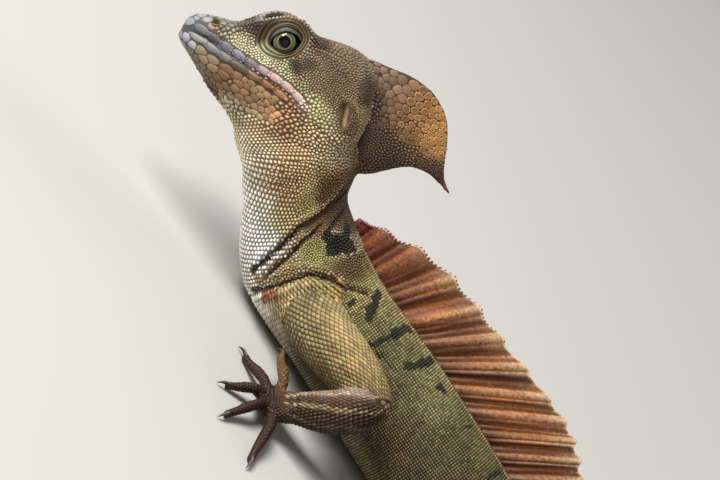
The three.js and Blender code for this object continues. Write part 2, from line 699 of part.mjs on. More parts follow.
// Each leg: its joints as x, y, z, and its hand or foot as a palm with five digits. Digits give the
// knuckle, the tip on the floor, the arch and the girth.
const LEGS = {
  left_arm: {
    upper: [
      [15, -8, 15.5, 8.0, 9.0],
      [22, -14.5, 16.8, 7.9, 8.5],
      [32, -21.5, 20.2, 7.2, 7.5],
      [40, -27, 22.4, 5.9, 6.1],
      [43.4, -29.6, 23.2, 4.8, 5.0],
    ],
    lower: [
      [44.0, -30.4, 22.8, 4.6, 4.8],
      [42.4, -33.2, 19.6, 5.9, 5.9],
      [38.4, -35.6, 13.6, 5.7, 5.4],
      [33.8, -37.0, 8.6, 4.8, 4.1],
    ],
    palm: [
      [34.0, -36.4, 8.6, 4.7, 3.9],
      [31.4, -37.4, 5.6, 5.3, 3.3],
      [28.6, -38.6, 3.8, 5.4, 2.8],
    ],
    digits: [
      [[28.6, -34.4, 4.6], [20.8, -21.6, 5.6], 1.8, 1.75],
      [[26.4, -35.8, 3.6], [15.8, -28.8], 1.2, 1.7],
      [[25.6, -39.2, 3.4], [19.0, -48.4], 1.4, 1.7],
      [[28.0, -41.6, 3.4], [24.4, -59.2], 1.5, 1.65],
      [[31.6, -41.6, 3.6], [36.6, -62.4], 1.3, 1.7],
    ],
  },
  right_arm: {
    upper: [
      [15, 8, 15.5, 8.0, 9.0],
      [22, 15, 16.2, 7.9, 8.4],
      [30.4, 23, 19.2, 7.2, 7.4],
      [36.6, 29, 21.6, 6.0, 6.2],
      [39.8, 31.8, 22.6, 5.2, 5.3],
    ],
    lower: [
      [39.8, 32.2, 22.4, 5.0, 5.2],
      [36.4, 35.8, 19.2, 6.0, 6.0],
      [29.6, 39.6, 13.2, 5.6, 5.3],
      [23.2, 42.6, 8.2, 4.3, 3.7],
    ],
    palm: [
      [24.0, 42.4, 8.2, 4.2, 3.5],
      [20.6, 43.8, 5.2, 5.0, 3.0],
      [17.2, 45.2, 3.5, 5.2, 2.6],
    ],
    digits: [
      [[18.4, 41.0, 3.7], [13.6, 31.2], 0.9, 1.6],
      [[15.4, 42.4, 3.4], [3.0, 37.0], 1.2, 1.6],
      [[14.2, 45.4, 3.2], [-2.4, 47.6], 1.4, 1.6],
      [[15.2, 48.2, 3.2], [1.4, 59.8], 1.5, 1.6],
      [[18.6, 49.0, 3.4], [17.4, 67.2], 1.3, 1.6],
    ],
  },
  left_leg: {
    upper: [
      [121, -6, 15.5, 8.6, 8.6],
      [113.5, -16, 18.4, 8.8, 9.0],
      [103, -30, 23.0, 7.6, 8.0],
      [95, -40, 25.8, 6.2, 6.4],
      [91.6, -44.4, 26.6, 5.4, 5.4],
    ],
    lower: [
      [91.8, -44.2, 26.4, 5.4, 5.4],
      [99, -49.4, 22.6, 6.4, 6.2],
      [113, -57, 14.6, 5.0, 4.8],
      [126, -63.8, 7.4, 3.7, 3.5],
    ],
    palm: [
      [127.6, -64.4, 6.6, 3.9, 3.4],
      [125.0, -68.4, 4.2, 4.4, 3.0],
      [119.0, -72.4, 3.4, 4.8, 2.5],
      [113.6, -75.4, 2.8, 4.8, 2.2],
    ],
    digits: [
      [[115.4, -71.4, 3.0], [104.6, -61.4], 0.9, 1.6],
      [[111.8, -72.6, 2.9], [91.6, -65.8], 1.3, 1.7],
      [[110.4, -75.2, 2.8], [80.6, -76.6], 1.5, 1.8],
      [[110.8, -77.8, 2.8], [75.6, -92.4], 1.6, 1.9],
      [[118.6, -75.6, 3.1], [119.6, -97.0], 1.3, 1.6],
    ],
  },
  right_leg: {
    upper: [
      [121, 6, 15.5, 8.6, 8.6],
      [114.5, 16.5, 18.0, 8.8, 9.0],
      [106, 30.5, 22.0, 7.6, 8.0],
      [99, 41, 24.4, 6.2, 6.4],
      [96, 45.6, 25.0, 5.4, 5.4],
    ],
    lower: [
      [96.2, 45.4, 24.8, 5.4, 5.4],
      [104, 50, 21.4, 6.4, 6.2],
      [119, 55.6, 13.8, 5.0, 4.8],
      [133, 60.4, 7.2, 3.7, 3.5],
    ],
    palm: [
      [134.4, 61.0, 6.4, 3.9, 3.4],
      [131.4, 64.6, 4.2, 4.4, 3.0],
      [125.0, 68.0, 3.4, 4.8, 2.5],
      [119.4, 70.4, 2.8, 4.8, 2.2],
    ],
    digits: [
      [[121.6, 66.6, 3.0], [111.6, 56.0], 0.9, 1.6],
      [[117.8, 67.4, 2.9], [98.4, 59.4], 1.3, 1.7],
      [[116.2, 70.0, 2.8], [86.4, 69.6], 1.5, 1.8],
      [[116.4, 72.8, 2.8], [80.8, 84.6], 1.6, 1.9],
      [[124.0, 71.4, 3.1], [124.4, 92.6], 1.3, 1.6],
    ],
  },
};
const PART_NAMES = {
  arm: ["upper_arm", "forearm", "hand"],
  leg: ["thigh", "shin", "foot"],
};

function legSolids(name, cutters) {
  const leg = LEGS[name];
  const [side, kind] = name.split("_");
  const [upperName, lowerName, endName] = PART_NAMES[kind];
  const upper = tube(leg.upper, LIMB_SIDES, 8);
  const lower = tube(leg.lower, LIMB_SIDES, 7);
  const palm = tube(leg.palm, LIMB_SIDES, 4);
  const end = union([solid(palm), ...leg.digits.flatMap((d) => digit(...d))]);
  const upperCutter = solid(grown(upper, GAP));
  const lowerCutter = solid(grown(lower, GAP));
  return {
    [`${side}_${upperName}`]: cutters.reduce((s, c) => s.subtract(c), solid(upper)),
    [`${side}_${lowerName}`]: solid(lower).subtract(upperCutter),
    [`${side}_${endName}`]: end.subtract(lowerCutter),
  };
}

// Whole model, parted with thin cuts
const NECK_CUT = { at: [-6, 0, -14.2], normal: [0.615, 0, 0.789] }; // in the head's frame
const SHOULDER_CUT = 7;
const HIP_CUT = 106;
const TAIL_CUT = 139.5;
const TAIL_CUTS = [0.16, 0.34, 0.56, 0.78];

function buildSolids() {
  const solids = {};
  const trunk = trunkMesh();
  const headSurface = headMesh();
  const trunkCutter = solid(grown(trunk, GAP));
  const headCutter = solid(grown(headSurface, GAP));
  const eyes = [1, -1].map(eyeCuts);

  const wholeFront = union([solid(trunk), solid(headSurface), ...eyes.map((e) => e.lids)]);
  const neckPoint = head.toFloor(...NECK_CUT.at);
  const [nf, nl, nu] = NECK_CUT.normal;
  const neckNormal = head.forward
    .clone()
    .multiplyScalar(nf)
    .addScaledVector(head.left, nl)
    .addScaledVector(head.up, nu);
  const pits = [1, -1].flatMap(headPits);
  solids.head = [...eyes.flatMap((e) => [e.opening, e.socket]), ...pits].reduce(
    (s, cut) => s.subtract(cut),
    keepAhead(wholeFront, neckPoint, neckNormal),
  );
  const body = keepBehind(wholeFront, neckPoint, neckNormal);

  const rearwards = new THREE.Vector3(1, 0, 0);
  const shoulderWay = new THREE.Vector3(1, 0, -0.16);
  const shoulder = new THREE.Vector3(SHOULDER_CUT, 0, 17);
  const hip = new THREE.Vector3(HIP_CUT, 0, 0);
  const tailRoot = new THREE.Vector3(TAIL_CUT, 0, 0);
  solids.neck = keepBehind(body, shoulder, shoulderWay);
  solids.torso = keepBehind(keepAhead(body, shoulder, shoulderWay), hip, rearwards);
  solids.hips = keepBehind(keepAhead(body, hip, rearwards), tailRoot, rearwards);

  let rest = keepAhead(solid(tailMesh()), tailRoot, rearwards);
  TAIL_CUTS.forEach((share, i) => {
    const { centre, along } = tailSection(share);
    solids[`tail_${i + 1}`] = largest(keepBehind(rest, centre, along));
    rest = largest(keepAhead(rest, centre, along));
  });
  solids.tail_tip = rest;

  const tailCutter = solid(grown(tailMesh(), GAP));
  solids.head_crest = solid(crestMesh()).subtract(headCutter).subtract(trunkCutter);
  solids.dorsal_sail = solid(membrane(SAIL_RAYS, 4, sailRay)).subtract(trunkCutter);
  solids.tail_crest = solid(membrane(TAIL_CREST_RAYS, 2, tailCrestRay))
    .subtract(tailCutter)
    .subtract(trunkCutter);
  solids.tail_crest = keepAhead(solids.tail_crest, tailRoot, rearwards);

  eyes.forEach(({ centre }, i) => {
    solids[i === 0 ? "eye_left" : "eye_right"] = ball(centre, EYE_RADIUS, 16, 10);
  });
  for (const name of Object.keys(LEGS)) Object.assign(solids, legSolids(name, [trunkCutter]));
  return solids;
}

// Colours
const LOOKS = {
  head_skin: { color: 0xae9b81, roughness: 0.6, metalness: 0 },
  crest_skin: { color: 0xb39a7a, roughness: 0.6, metalness: 0 },
  body_skin: { color: 0xa6a67f, roughness: 0.65, metalness: 0 },
  arm_skin: { color: 0xbfad80, roughness: 0.6, metalness: 0 },
  limb_skin: { color: 0x9e957b, roughness: 0.65, metalness: 0 },
  digit_skin: { color: 0x876f65, roughness: 0.6, metalness: 0 },
  tail_skin: { color: 0xa49b7e, roughness: 0.65, metalness: 0 },
  sail_skin: { color: 0xbb9a7b, roughness: 0.6, metalness: 0 },
  eye: { color: 0x949268, roughness: 0.12, metalness: 0 },
};
const LOOK_BY_NAME = [
  [/^eye/, "eye"],
  [/^head$/, "head_skin"],
  [/^head_crest$/, "crest_skin"],
  [/(sail|tail_crest)$/, "sail_skin"],
  [/^tail/, "tail_skin"],
  [/upper_arm$/, "arm_skin"],
  [/(hand|foot)$/, "digit_skin"],
  [/(forearm|thigh|shin)$/, "limb_skin"],
];
function lookOf(name) {
  const found = LOOK_BY_NAME.find(([pattern]) => pattern.test(name));
  return LOOKS[found ? found[1] : "body_skin"];
}

function geometryOf(s) {
  const mesh = s.getMesh();
  const geometry = new THREE.BufferGeometry();
  geometry.setAttribute("position", new THREE.BufferAttribute(mesh.vertProperties, 3));
  geometry.setIndex(new THREE.BufferAttribute(mesh.triVerts, 1));
  return geometry;
}

const basilisk = new THREE.Group();
for (const [name, s] of Object.entries(buildSolids())) {
  const geometry = geometryOf(largest(aboveFloor(s)));
  geometry.computeVertexNormals();
  const mesh = new THREE.Mesh(geometry, new THREE.MeshStandardMaterial(lookOf(name)));
  mesh.name = name;
  basilisk.add(mesh);
}

// The origin is under the middle of the whole animal, on the floor.
const box = new THREE.Box3().setFromObject(basilisk, true);
const middle = box.getCenter(new THREE.Vector3());
basilisk.position.set(-middle.x, -middle.y, -box.min.z);

export default basilisk;
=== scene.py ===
import math
import bpy
import numpy as np
from mathutils import Matrix, Quaternion, Vector, noise
from mathutils.bvhtree import BVHTree
from mathutils.kdtree import KDTree


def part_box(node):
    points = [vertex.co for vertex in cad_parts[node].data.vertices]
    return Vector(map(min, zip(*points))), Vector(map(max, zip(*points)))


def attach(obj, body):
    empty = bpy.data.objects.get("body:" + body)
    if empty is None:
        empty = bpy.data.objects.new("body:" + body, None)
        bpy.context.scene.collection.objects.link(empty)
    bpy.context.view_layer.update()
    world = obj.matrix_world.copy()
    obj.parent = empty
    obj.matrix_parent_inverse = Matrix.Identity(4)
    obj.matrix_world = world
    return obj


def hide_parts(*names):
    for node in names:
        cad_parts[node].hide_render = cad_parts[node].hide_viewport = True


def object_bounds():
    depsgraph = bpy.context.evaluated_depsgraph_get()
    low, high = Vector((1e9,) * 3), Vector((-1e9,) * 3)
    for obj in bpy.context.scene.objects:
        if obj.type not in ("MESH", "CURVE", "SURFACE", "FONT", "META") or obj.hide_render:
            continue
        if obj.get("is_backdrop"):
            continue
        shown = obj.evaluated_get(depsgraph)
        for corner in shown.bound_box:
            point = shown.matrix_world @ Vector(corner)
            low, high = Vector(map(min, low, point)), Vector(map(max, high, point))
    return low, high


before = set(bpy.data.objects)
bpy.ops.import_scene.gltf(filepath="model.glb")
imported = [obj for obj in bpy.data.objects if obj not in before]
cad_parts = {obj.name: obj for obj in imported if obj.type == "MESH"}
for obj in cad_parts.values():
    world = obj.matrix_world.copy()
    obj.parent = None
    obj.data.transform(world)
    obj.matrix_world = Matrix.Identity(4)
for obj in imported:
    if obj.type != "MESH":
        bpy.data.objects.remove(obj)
cad_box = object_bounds()
bpy.ops.object.select_all(action="DESELECT")

# The animal's place
# The body is laid out in millimetres from a point under the shoulders: the snout looks to -X, the left
# flank to -Y. The head is turned, with its own directions forward, left and up from its origin. The ball
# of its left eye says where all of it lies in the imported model.
HEAD_ORIGIN = Vector((-31.3, -5.0, 42.5))
EYE_AT = (11.4, 6.6, 11.4)
forward, left, up = Vector((-1, 0, 0)), Vector((0, -1, 0)), Vector((0, 0, 1))
for axis, degrees in ((up, 22), (left, 19), (forward, 22)):
    turn = Quaternion(axis.copy(), math.radians(degrees))
    for arrow in (forward, left, up):
        arrow.rotate(turn)
HEAD_AXES = np.array([forward, left, up])


def on_head(points):
    return np.array(HEAD_ORIGIN) + np.asarray(points, float) @ HEAD_AXES


def in_head(points):
    return (np.asarray(points, float) - np.array(HEAD_ORIGIN)) @ HEAD_AXES.T


# The same, with the right half of the head folded onto the left.
def in_half_head(points):
    inside = in_head(points)
    inside[:, 1] = np.abs(inside[:, 1])
    return inside


lowest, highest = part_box("eye_left")
BODY_POINT = np.array((lowest + highest) / 2) * 1000 - on_head(EYE_AT)


def packed(points):
    return (np.asarray(points, float) + BODY_POINT) / 1000


def laid_out(points):
    return np.asarray(points, float) * 1000 - BODY_POINT


# Camera
# The animal is seen from its left and a little above, with the picture turned so that it climbs.
LENS, SENSOR = 115.4, 36
DISTANCE = 600
AIM = (7.7, 0, 34.5)
TILT, ROLL = math.radians(18), math.radians(56)
camera_data = bpy.data.cameras.new("camera")
camera_data.lens = LENS
camera_data.sensor_width = SENSOR
camera_data.clip_end = 20
camera = bpy.data.objects.new("camera", camera_data)
bpy.context.scene.collection.objects.link(camera)
back = Vector((0, -math.cos(TILT), math.sin(TILT)))
across = Vector((1, 0, 0))
above = back.cross(across)
picture_x = across * math.cos(ROLL) + above * math.sin(ROLL)
picture_y = above * math.cos(ROLL) - across * math.sin(ROLL)
place = Vector(packed(np.array(AIM) + DISTANCE * np.array(back)))
camera.matrix_world = Matrix.Translation(place) @ Matrix((picture_x, picture_y, back)).transposed().to_4x4()
bpy.context.scene.camera = camera

# Floor and light
# A plain pale floor without a wall behind it, a broad soft lamp over the head, a weaker one on the
# camera's side, one behind, a small one that the eye mirrors, and an even pale sky.
bpy.ops.mesh.primitive_plane_add(size=14, location=(0, 0, 0))
floor = bpy.context.object
floor.name = "floor"
floor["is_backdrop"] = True
pale = bpy.data.materials.new("floor_paper")
pale.use_nodes = True
paper = pale.node_tree.nodes["Principled BSDF"]
paper.inputs["Base Color"].default_value = (0.6, 0.59, 0.57, 1)
paper.inputs["Roughness"].default_value = 0.9
floor.data.materials.append(pale)

CHEST = Vector(packed((0, 0, 25)))
GLINT_RISE = math.radians(43)
glint = back * math.cos(GLINT_RISE) + picture_y * math.sin(GLINT_RISE) - picture_x * 0.03
for name, away, size, watts, colour in (
    ("sky_lamp", (-0.95, -0.45, 1.05), 0.7, 26, (1.0, 0.98, 0.94)),
    ("side_lamp", (0.35, -1.5, 0.7), 1.2, 1.4, (1.0, 0.96, 0.9)),
    ("glint_lamp", glint * 1.1, 0.28, 4.2, (1.0, 0.98, 0.95)),
    ("back_lamp", (0.6, 1.2, 0.9), 0.9, 7, (0.98, 0.99, 1.0)),
):
    light = bpy.data.lights.new(name, "AREA")
    light.shape = "DISK"
    light.size = size
    light.energy = watts
    light.color = colour
    holder = bpy.data.objects.new(name, light)
    bpy.context.scene.collection.objects.link(holder)
    holder.location = CHEST + Vector(away)
    holder.rotation_euler = (CHEST - holder.location).to_track_quat("-Z", "Y").to_euler()
sky = bpy.data.worlds.new("sky")
sky.use_nodes = True
sky.node_tree.nodes["Background"].inputs["Color"].default_value = (1.0, 0.97, 0.93, 1)
sky.node_tree.nodes["Background"].inputs["Strength"].default_value = 0.19
bpy.context.scene.world = sky
bpy.context.scene.view_settings.view_transform = "Standard"

# Body
# One skin over head, trunk, tail and legs. It closes the joints between the solids, softens their
# facets, and lies a little inside them so that the scales fit over it.
FLESH = ["head", "head_crest", "neck", "torso", "hips", "tail_1", "tail_2", "tail_3", "tail_4", "tail_tip"]
for side in ("left", "right"):
    FLESH += [f"{side}_{part}" for part in ("upper_arm", "forearm", "hand", "thigh", "shin", "foot")]
JOINT_FILL = 0.25  # how far the solids swell to meet across their joints
VOXEL = 0.5
SKIN_TRIANGLES = 190000
# How much of a part's facets is smoothed away, and the depth that its scales take.
PART_SURFACE = {
    "head": (0.1, 0.22), "head_crest": (0.3, 0.12), "hand": (0.12, 0.1), "foot": (0.12, 0.1),
    "tail_4": (0.8, 0.16), "tail_tip": (0.25, 0.06), "": (0.9, 0.3),
}


def finish_modifiers(piece):
    bpy.context.view_layer.objects.active = piece
    for modifier in list(piece.modifiers):
        bpy.ops.object.modifier_apply(modifier=modifier.name)


def weld(piece, nearer_than, outwards=False):
    bpy.ops.object.select_all(action="DESELECT")
    piece.select_set(True)
    bpy.context.view_layer.objects.active = piece
    bpy.ops.object.mode_set(mode="EDIT")
    bpy.ops.mesh.select_all(action="SELECT")
    bpy.ops.mesh.remove_doubles(threshold=nearer_than)
    if outwards:
        bpy.ops.mesh.normals_make_consistent(inside=False)
    bpy.ops.object.mode_set(mode="OBJECT")


def joined(pieces, name):
    bpy.ops.object.select_all(action="DESELECT")
    for piece in pieces:
        piece.select_set(True)
    bpy.context.view_layer.objects.active = pieces[0]
    bpy.ops.object.join()
    bpy.context.object.name = name
    return bpy.context.object


def own_places(piece):
    places = np.empty(len(piece.data.vertices) * 3)
    piece.data.vertices.foreach_get("co", places)
    return places.reshape(-1, 3)


def places_of(piece):
    return laid_out(own_places(piece))


def move_to(piece, places):
    piece.data.vertices.foreach_set("co", packed(places).ravel())
    piece.data.update()


def normals_of(piece):
    arrows = np.empty(len(piece.data.vertices) * 3)
    piece.data.vertex_normals.foreach_get("vector", arrows)
    return arrows.reshape(-1, 3)


swollen = []
node_faces, node_places, face_part = [], [], []
for number, name in enumerate(FLESH):
    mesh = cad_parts[name].data.copy()
    mesh.materials.clear()
    shell = bpy.data.objects.new("flesh_" + name, mesh)
    bpy.context.scene.collection.objects.link(shell)
    weld(shell, 0.00001)
    before = sum(len(places) for places in node_places)
    node_places.append(places_of(shell))
    node_faces += [[before + v for v in face.vertices] for face in mesh.polygons]
    face_part += [number] * len(mesh.polygons)
    swell = shell.modifiers.new("swell", "DISPLACE")
    swell.mid_level = 0
    swell.strength = JOINT_FILL / 1000
    finish_modifiers(shell)
    swollen.append(shell)
part_tree = BVHTree.FromPolygons(np.concatenate(node_places).tolist(), node_faces)
face_part = np.array(face_part)


# The number in FLESH of the solid that lies nearest to each point.
def parts_at(points):
    return np.array([face_part[part_tree.find_nearest(Vector(p))[2]] for p in points])


skin = joined(swollen, "skin")
remesh = skin.modifiers.new("remesh", "REMESH")
remesh.mode = "VOXEL"
remesh.voxel_size = VOXEL / 1000
finish_modifiers(skin)

softness, depth = np.ones(len(FLESH)), np.ones(len(FLESH))
for number, name in enumerate(FLESH):
    kind = name if name in PART_SURFACE else name.split("_")[-1]
    softness[number], depth[number] = PART_SURFACE.get(kind, PART_SURFACE[""])
edges = np.empty(len(skin.data.edges) * 2, np.int64)
skin.data.edges.foreach_get("vertices", edges)
edges = edges.reshape(-1, 2)
count = len(skin.data.vertices)


# Each value moves by its share towards the mean of its neighbours' values, as often as there are turns.
def spread(values, turns, share=0.5):
    neighbours = np.bincount(edges.ravel(), minlength=count).clip(1)[:, None]
    share = np.asarray(share).reshape(-1, 1)
    for _ in range(turns):
        total = np.zeros_like(values)
        for k in range(values.shape[1]):
            total[:, k] = np.bincount(edges[:, 0], values[edges[:, 1], k], count)
            total[:, k] += np.bincount(edges[:, 1], values[edges[:, 0], k], count)
        values = values * (1 - share) + share * total / neighbours
    return values


# The facets are smoothed away, what the smoothing shrinks is given back, and the skin sinks under the
# feet of its scales.
places = places_of(skin)
skin_part = parts_at(places)
weight = spread(softness[skin_part][:, None], 12)
smooth = spread(places, 36, 0.62 * weight)
smooth += spread(places - smooth, 60, 0.9)
move_to(skin, smooth)
pull = JOINT_FILL + spread(depth[skin_part][:, None], 12)
move_to(skin, smooth - normals_of(skin) * pull)

# Folds of the skin
# The mouth is a shallow line, and loose skin lies in folds round the throat and in front of the arm.
# Each is a run of points on the left side, half its width, its depth (a ridge is negative), and is
# mirrored to the right.
HEAD_FOLDS = [
    ([(34.6, 0.6, 0.9), (30, 4.3, 1.8), (26, 5.4, 2.0), (20, 7.1, 1.8), (12, 9.4, 1.2), (5, 11.2, 0.8),
      (0, 12.3, -0.4), (-3, 12.6, -1.8)], 0.6, 0.75),
    ([(24, 5.2, 9.0), (20.5, 6.4, 11.4), (18.3, 7.4, 13.4), (15.5, 8.8, 16.2), (12, 9.3, 17.9),
      (8.7, 9.3, 17.8), (6.2, 9.2, 16.6), (3.1, 8.6, 16.0)], 1.0, -0.9),
    ([(30, 3.2, 6.6), (28, 3.4, 7.0), (26.4, 3.8, 7.2)], 0.7, -0.25),
    ([(-7.6, 12.9, 7.4), (-12.2, 12.4, 6.2), (-14.2, 11.0, 3.5), (-14.6, 11.2, -0.5),
      (-13.2, 11.8, -2.5)], 0.8, -0.5),
    ([(-11.4, 11.2, 9.6), (-14.6, 10.6, 6), (-15.8, 10.2, 1), (-16.6, 10, -5)], 0.7, 0.7),
    ([(-2.0, 12.4, -2.0), (-9.2, 12.6, -3.4), (-13.4, 11.0, -6.2), (-17.6, 9.0, -9.0)], 0.6, 0.4),
]
NECK_FOLDS = [
    ([(-11.5, -10.5, 43), (-13.2, -13.5, 37), (-15, -15.5, 31), (-17, -15.2, 26)], 1.2, 0.35),
    ([(-6.2, -6.9, 41.1), (-5.1, -8.7, 36.6), (-4.7, -11.1, 31.3), (-4.9, -12.5, 26.7), (-3.8, -12.9, 20.8),
      (-2.7, -12.4, 14.5), (-1.8, -10.3, 8.4)], 1.0, -0.9),
    ([(-4.6, -6.4, 40.4), (-3.4, -8.6, 36), (-2.9, -11.0, 31), (-3.0, -12.5, 26.4), (-2.1, -12.9, 20.6),
      (-1.1, -12.4, 14.4), (-0.4, -10.3, 8.4)], 0.8, 1.1),
    ([(-1.9, -9.3, 31.3), (-1.0, -11.2, 26.5), (-0.1, -12.5, 20.7), (0.6, -12.8, 15.0),
      (1.3, -12.1, 10.9)], 0.8, -0.6),
    ([(-0.6, -9.3, 31.3), (0.3, -11.2, 26.5), (1.2, -12.5, 20.7), (1.9, -12.8, 15.0),
      (2.6, -12.1, 10.9)], 0.7, 0.8),
    ([(2.6, -9, 4), (4.2, -11.6, 8.6), (5.7, -13.3, 13.5), (6.8, -13.1, 18.5), (8.1, -12.1, 22.2),
      (11.8, -10.8, 25.6), (15.8, -9.6, 27.6), (20.6, -6.4, 30.2)], 0.8, 1.2),
    ([(4.6, -9, 4.4), (6.4, -11.8, 9), (7.8, -13.3, 14), (9, -13.1, 18.8), (10.4, -12.1, 22.4),
      (13.6, -10.8, 25.4), (17.4, -9.4, 27.4)], 1.1, -0.4),
    ([(1.2, -10.4, 8.6), (2.6, -12.9, 13.8), (3.8, -13.0, 18.8), (5.4, -12.0, 22.8), (9.4, -10.8, 26.6),
      (14, -9.4, 28.6)], 1.0, -0.5),
    ([(-5.2, -3, 40), (-3.4, -6.6, 37)], 0.6, 0.5),
    ([(-1.6, -1, 37), (0.4, -5.6, 34), (1.4, -8.2, 31)], 0.6, 0.5),
    ([(24, -19, 13), (30, -20, 20), (34, -17.5, 26), (37, -13, 29.5)], 0.9, 0.55),
    ([(31, -17, 27), (36, -15.4, 28.4), (43, -13, 29)], 0.7, 0.4),
    ([(47, -13, 26), (49, -16, 20), (50, -17, 15)], 0.9, 0.35),
    ([(55, -12, 27), (57, -16, 20), (58, -17, 15)], 0.9, 0.3),
    ([(22, -9, 28.4), (27, -13, 26.4), (33, -15.6, 23)], 0.8, 0.5),
    ([(34, -8, 29.6), (39, -13, 25), (42, -15.6, 19)], 1.3, 0.3),
    ([(62, -9, 29), (66, -14, 23), (67, -16.6, 16)], 1.3, 0.3),
    ([(72, -9, 28), (75, -14, 22), (76, -16.6, 15)], 1.3, 0.3),
]
FIRST_RIDGE, SECOND_RIDGE, ARM_FOLD = (NECK_FOLDS[k][0] for k in (1, 3, 5))
PARTS_ON_HEAD = [FLESH.index(name) for name in ("head", "head_crest")]
TRUNK_PARTS = [FLESH.index(name) for name in ("neck", "torso", "hips")]
# Middle of the trunk from inside the head to the root of the tail: its place, its upward and its left
# direction, and how far the body reaches up, down and sideways from it.
TRUNK_WAY = [
    (-32.8, -5.4, 42.4, 0.34, 0.42, 0.84, 0.23, -0.91, 0.35, 12.5, 14.5, 8.6),
    (-27.3, -5.2, 39.2, 0.39, 0.42, 0.82, 0.22, -0.91, 0.34, 14.5, 15.6, 10.6),
    (-22.3, -5, 36.6, 0.5, 0.42, 0.75, 0.2, -0.92, 0.32, 15.6, 15.6, 11.8),
    (-16, -4.6, 33.4, 0.61, 0.42, 0.66, 0.16, -0.93, 0.28, 14.6, 15.5, 11.8),
    (-9.6, -2.2, 27, 0.43, 0.31, 0.85, 0.17, -0.93, 0.29, 13.2, 14.6, 11.4),
    (-4, -0.8, 21.5, 0.3, 0.25, 0.92, 0.12, -0.95, 0.23, 15.6, 15.4, 12),
    (3, 0, 16.5, 0.17, 0.19, 0.97, 0.07, -0.97, 0.17, 18.6, 15, 13),
    (12, 0, 14.6, 0.09, 0.13, 0.99, 0.02, -0.99, 0.13, 19, 13.8, 14.4),
    (24, 0, 13.8, 0, 0.1, 0.99, 0, -0.99, 0.1, 19, 12.8, 15),
    (42, 0, 13.4, 0, 0.1, 0.99, 0, -0.99, 0.1, 20, 13, 15.8),
    (62, 0, 13, 0, 0.1, 0.99, 0, -0.99, 0.1, 20, 13.2, 17.2),
    (82, 0, 13, 0, 0.1, 0.99, 0, -0.99, 0.1, 19, 13.2, 17.4),
    (102, 0, 13.6, 0, 0.1, 0.99, 0, -0.99, 0.1, 16.6, 12.4, 14.6),
    (118, 0, 14.4, -0.05, 0.1, 0.99, 0, -0.99, 0.1, 13.6, 10.4, 12.2),
    (132, 0, 14.2, -0.07, 0.1, 0.99, 0, -0.99, 0.1, 11.4, 8.6, 10.6),
    (143, 0.4, 13.3, -0.09, 0.1, 0.99, 0, -0.99, 0.1, 10, 8.2, 9.4),
]


def read_table(rows, at):
    rows, at = np.asarray(rows, float), np.asarray(at, float)
    keys, values = rows[:, 0], rows[:, 1:]
    slope = np.gradient(values, keys, axis=0)
    k = np.clip(np.searchsorted(keys, at) - 1, 0, len(keys) - 2)
    span = (keys[k + 1] - keys[k])[..., None]
    t = np.clip((at - keys[k])[..., None] / span, 0, 1)
    return (
        values[k] * (1 + 2 * t) * (1 - t) ** 2
        + values[k + 1] * t**2 * (3 - 2 * t)
        + span * (slope[k] * t * (1 - t) ** 2 - slope[k + 1] * t**2 * (1 - t))
    )


def unit(arrows):
    return arrows / np.linalg.norm(arrows, axis=-1, keepdims=True).clip(1e-9)


def even_way(rows, step):
    rows = np.asarray(rows, float)
    keyed = np.column_stack((np.arange(len(rows)), rows))
    fine = read_table(keyed, np.linspace(0, len(rows) - 1, 40 * len(rows)))
    gone = np.r_[0, np.cumsum(np.linalg.norm(np.diff(fine[:, :3], axis=0), axis=1))]
    at = np.arange(0, gone[-1], step)
    return at, np.column_stack([np.interp(at, gone, fine[:, k]) for k in range(rows.shape[1])])


trunk_at, trunk_way = even_way(TRUNK_WAY, 0.5)


def tree_of(places):
    tree = KDTree(len(places))
    for k, place in enumerate(places):
        tree.insert(place, k)
    tree.balance()
    return tree


def nearest_row(points, line):
    tree = tree_of(line)
    return np.array([tree.find(p)[1] for p in points], int)


# How far along the trunk a point lies, its angle from the back round to the belly, and its side.
def on_trunk(points):
    points = np.asarray(points, float)
    row = nearest_row(points, trunk_way[:, :3])
    away = points - trunk_way[row, :3]
    rise = (away * trunk_way[row, 3:6]).sum(1)
    aside = (away * trunk_way[row, 6:9]).sum(1)
    return np.column_stack((trunk_at[row], np.arctan2(np.abs(aside), rise) * 15, np.sign(aside)))


# How far each point lies from a line, and how far along the line its nearest place is.
def from_line(points, line):
    nearest = np.full(len(points), 1e9)
    share = np.zeros(len(points))
    for k, (a, b) in enumerate(zip(line[:-1], line[1:])):
        a, way = np.asarray(a, float), np.asarray(b, float) - np.asarray(a, float)
        t = np.clip(((points - a) @ way) / (way @ way), 0, 1)
        gap = np.linalg.norm(points - a - t[:, None] * way, axis=1)
        closer = gap < nearest
        nearest[closer], share[closer] = gap[closer], ((k + t) / (len(line) - 1))[closer]
    return nearest, share


def fold_depth(points, folds):
    depth = np.zeros(len(points))
    for line, half, deep in folds:
        gap, share = from_line(points, line)
        ends = np.minimum(1, 6 * np.minimum(share, 1 - share) + 0.15)
        depth += deep * ends * np.exp(-((gap / half) ** 2))
    return depth


# 1 on the head and its crest and 0 behind them, with 8 mm of passage across the neck.
def head_share(points, parts):
    f, _, u = in_head(points).T
    beyond_neck = (f + 6) * 0.615 + (u + 14.2) * 0.789
    share = np.clip(0.5 + beyond_neck / 8, 0, 1)
    share[parts == PARTS_ON_HEAD[1]] = 1
    share[~np.isin(parts, PARTS_ON_HEAD + TRUNK_PARTS[:2])] = 0
    return share


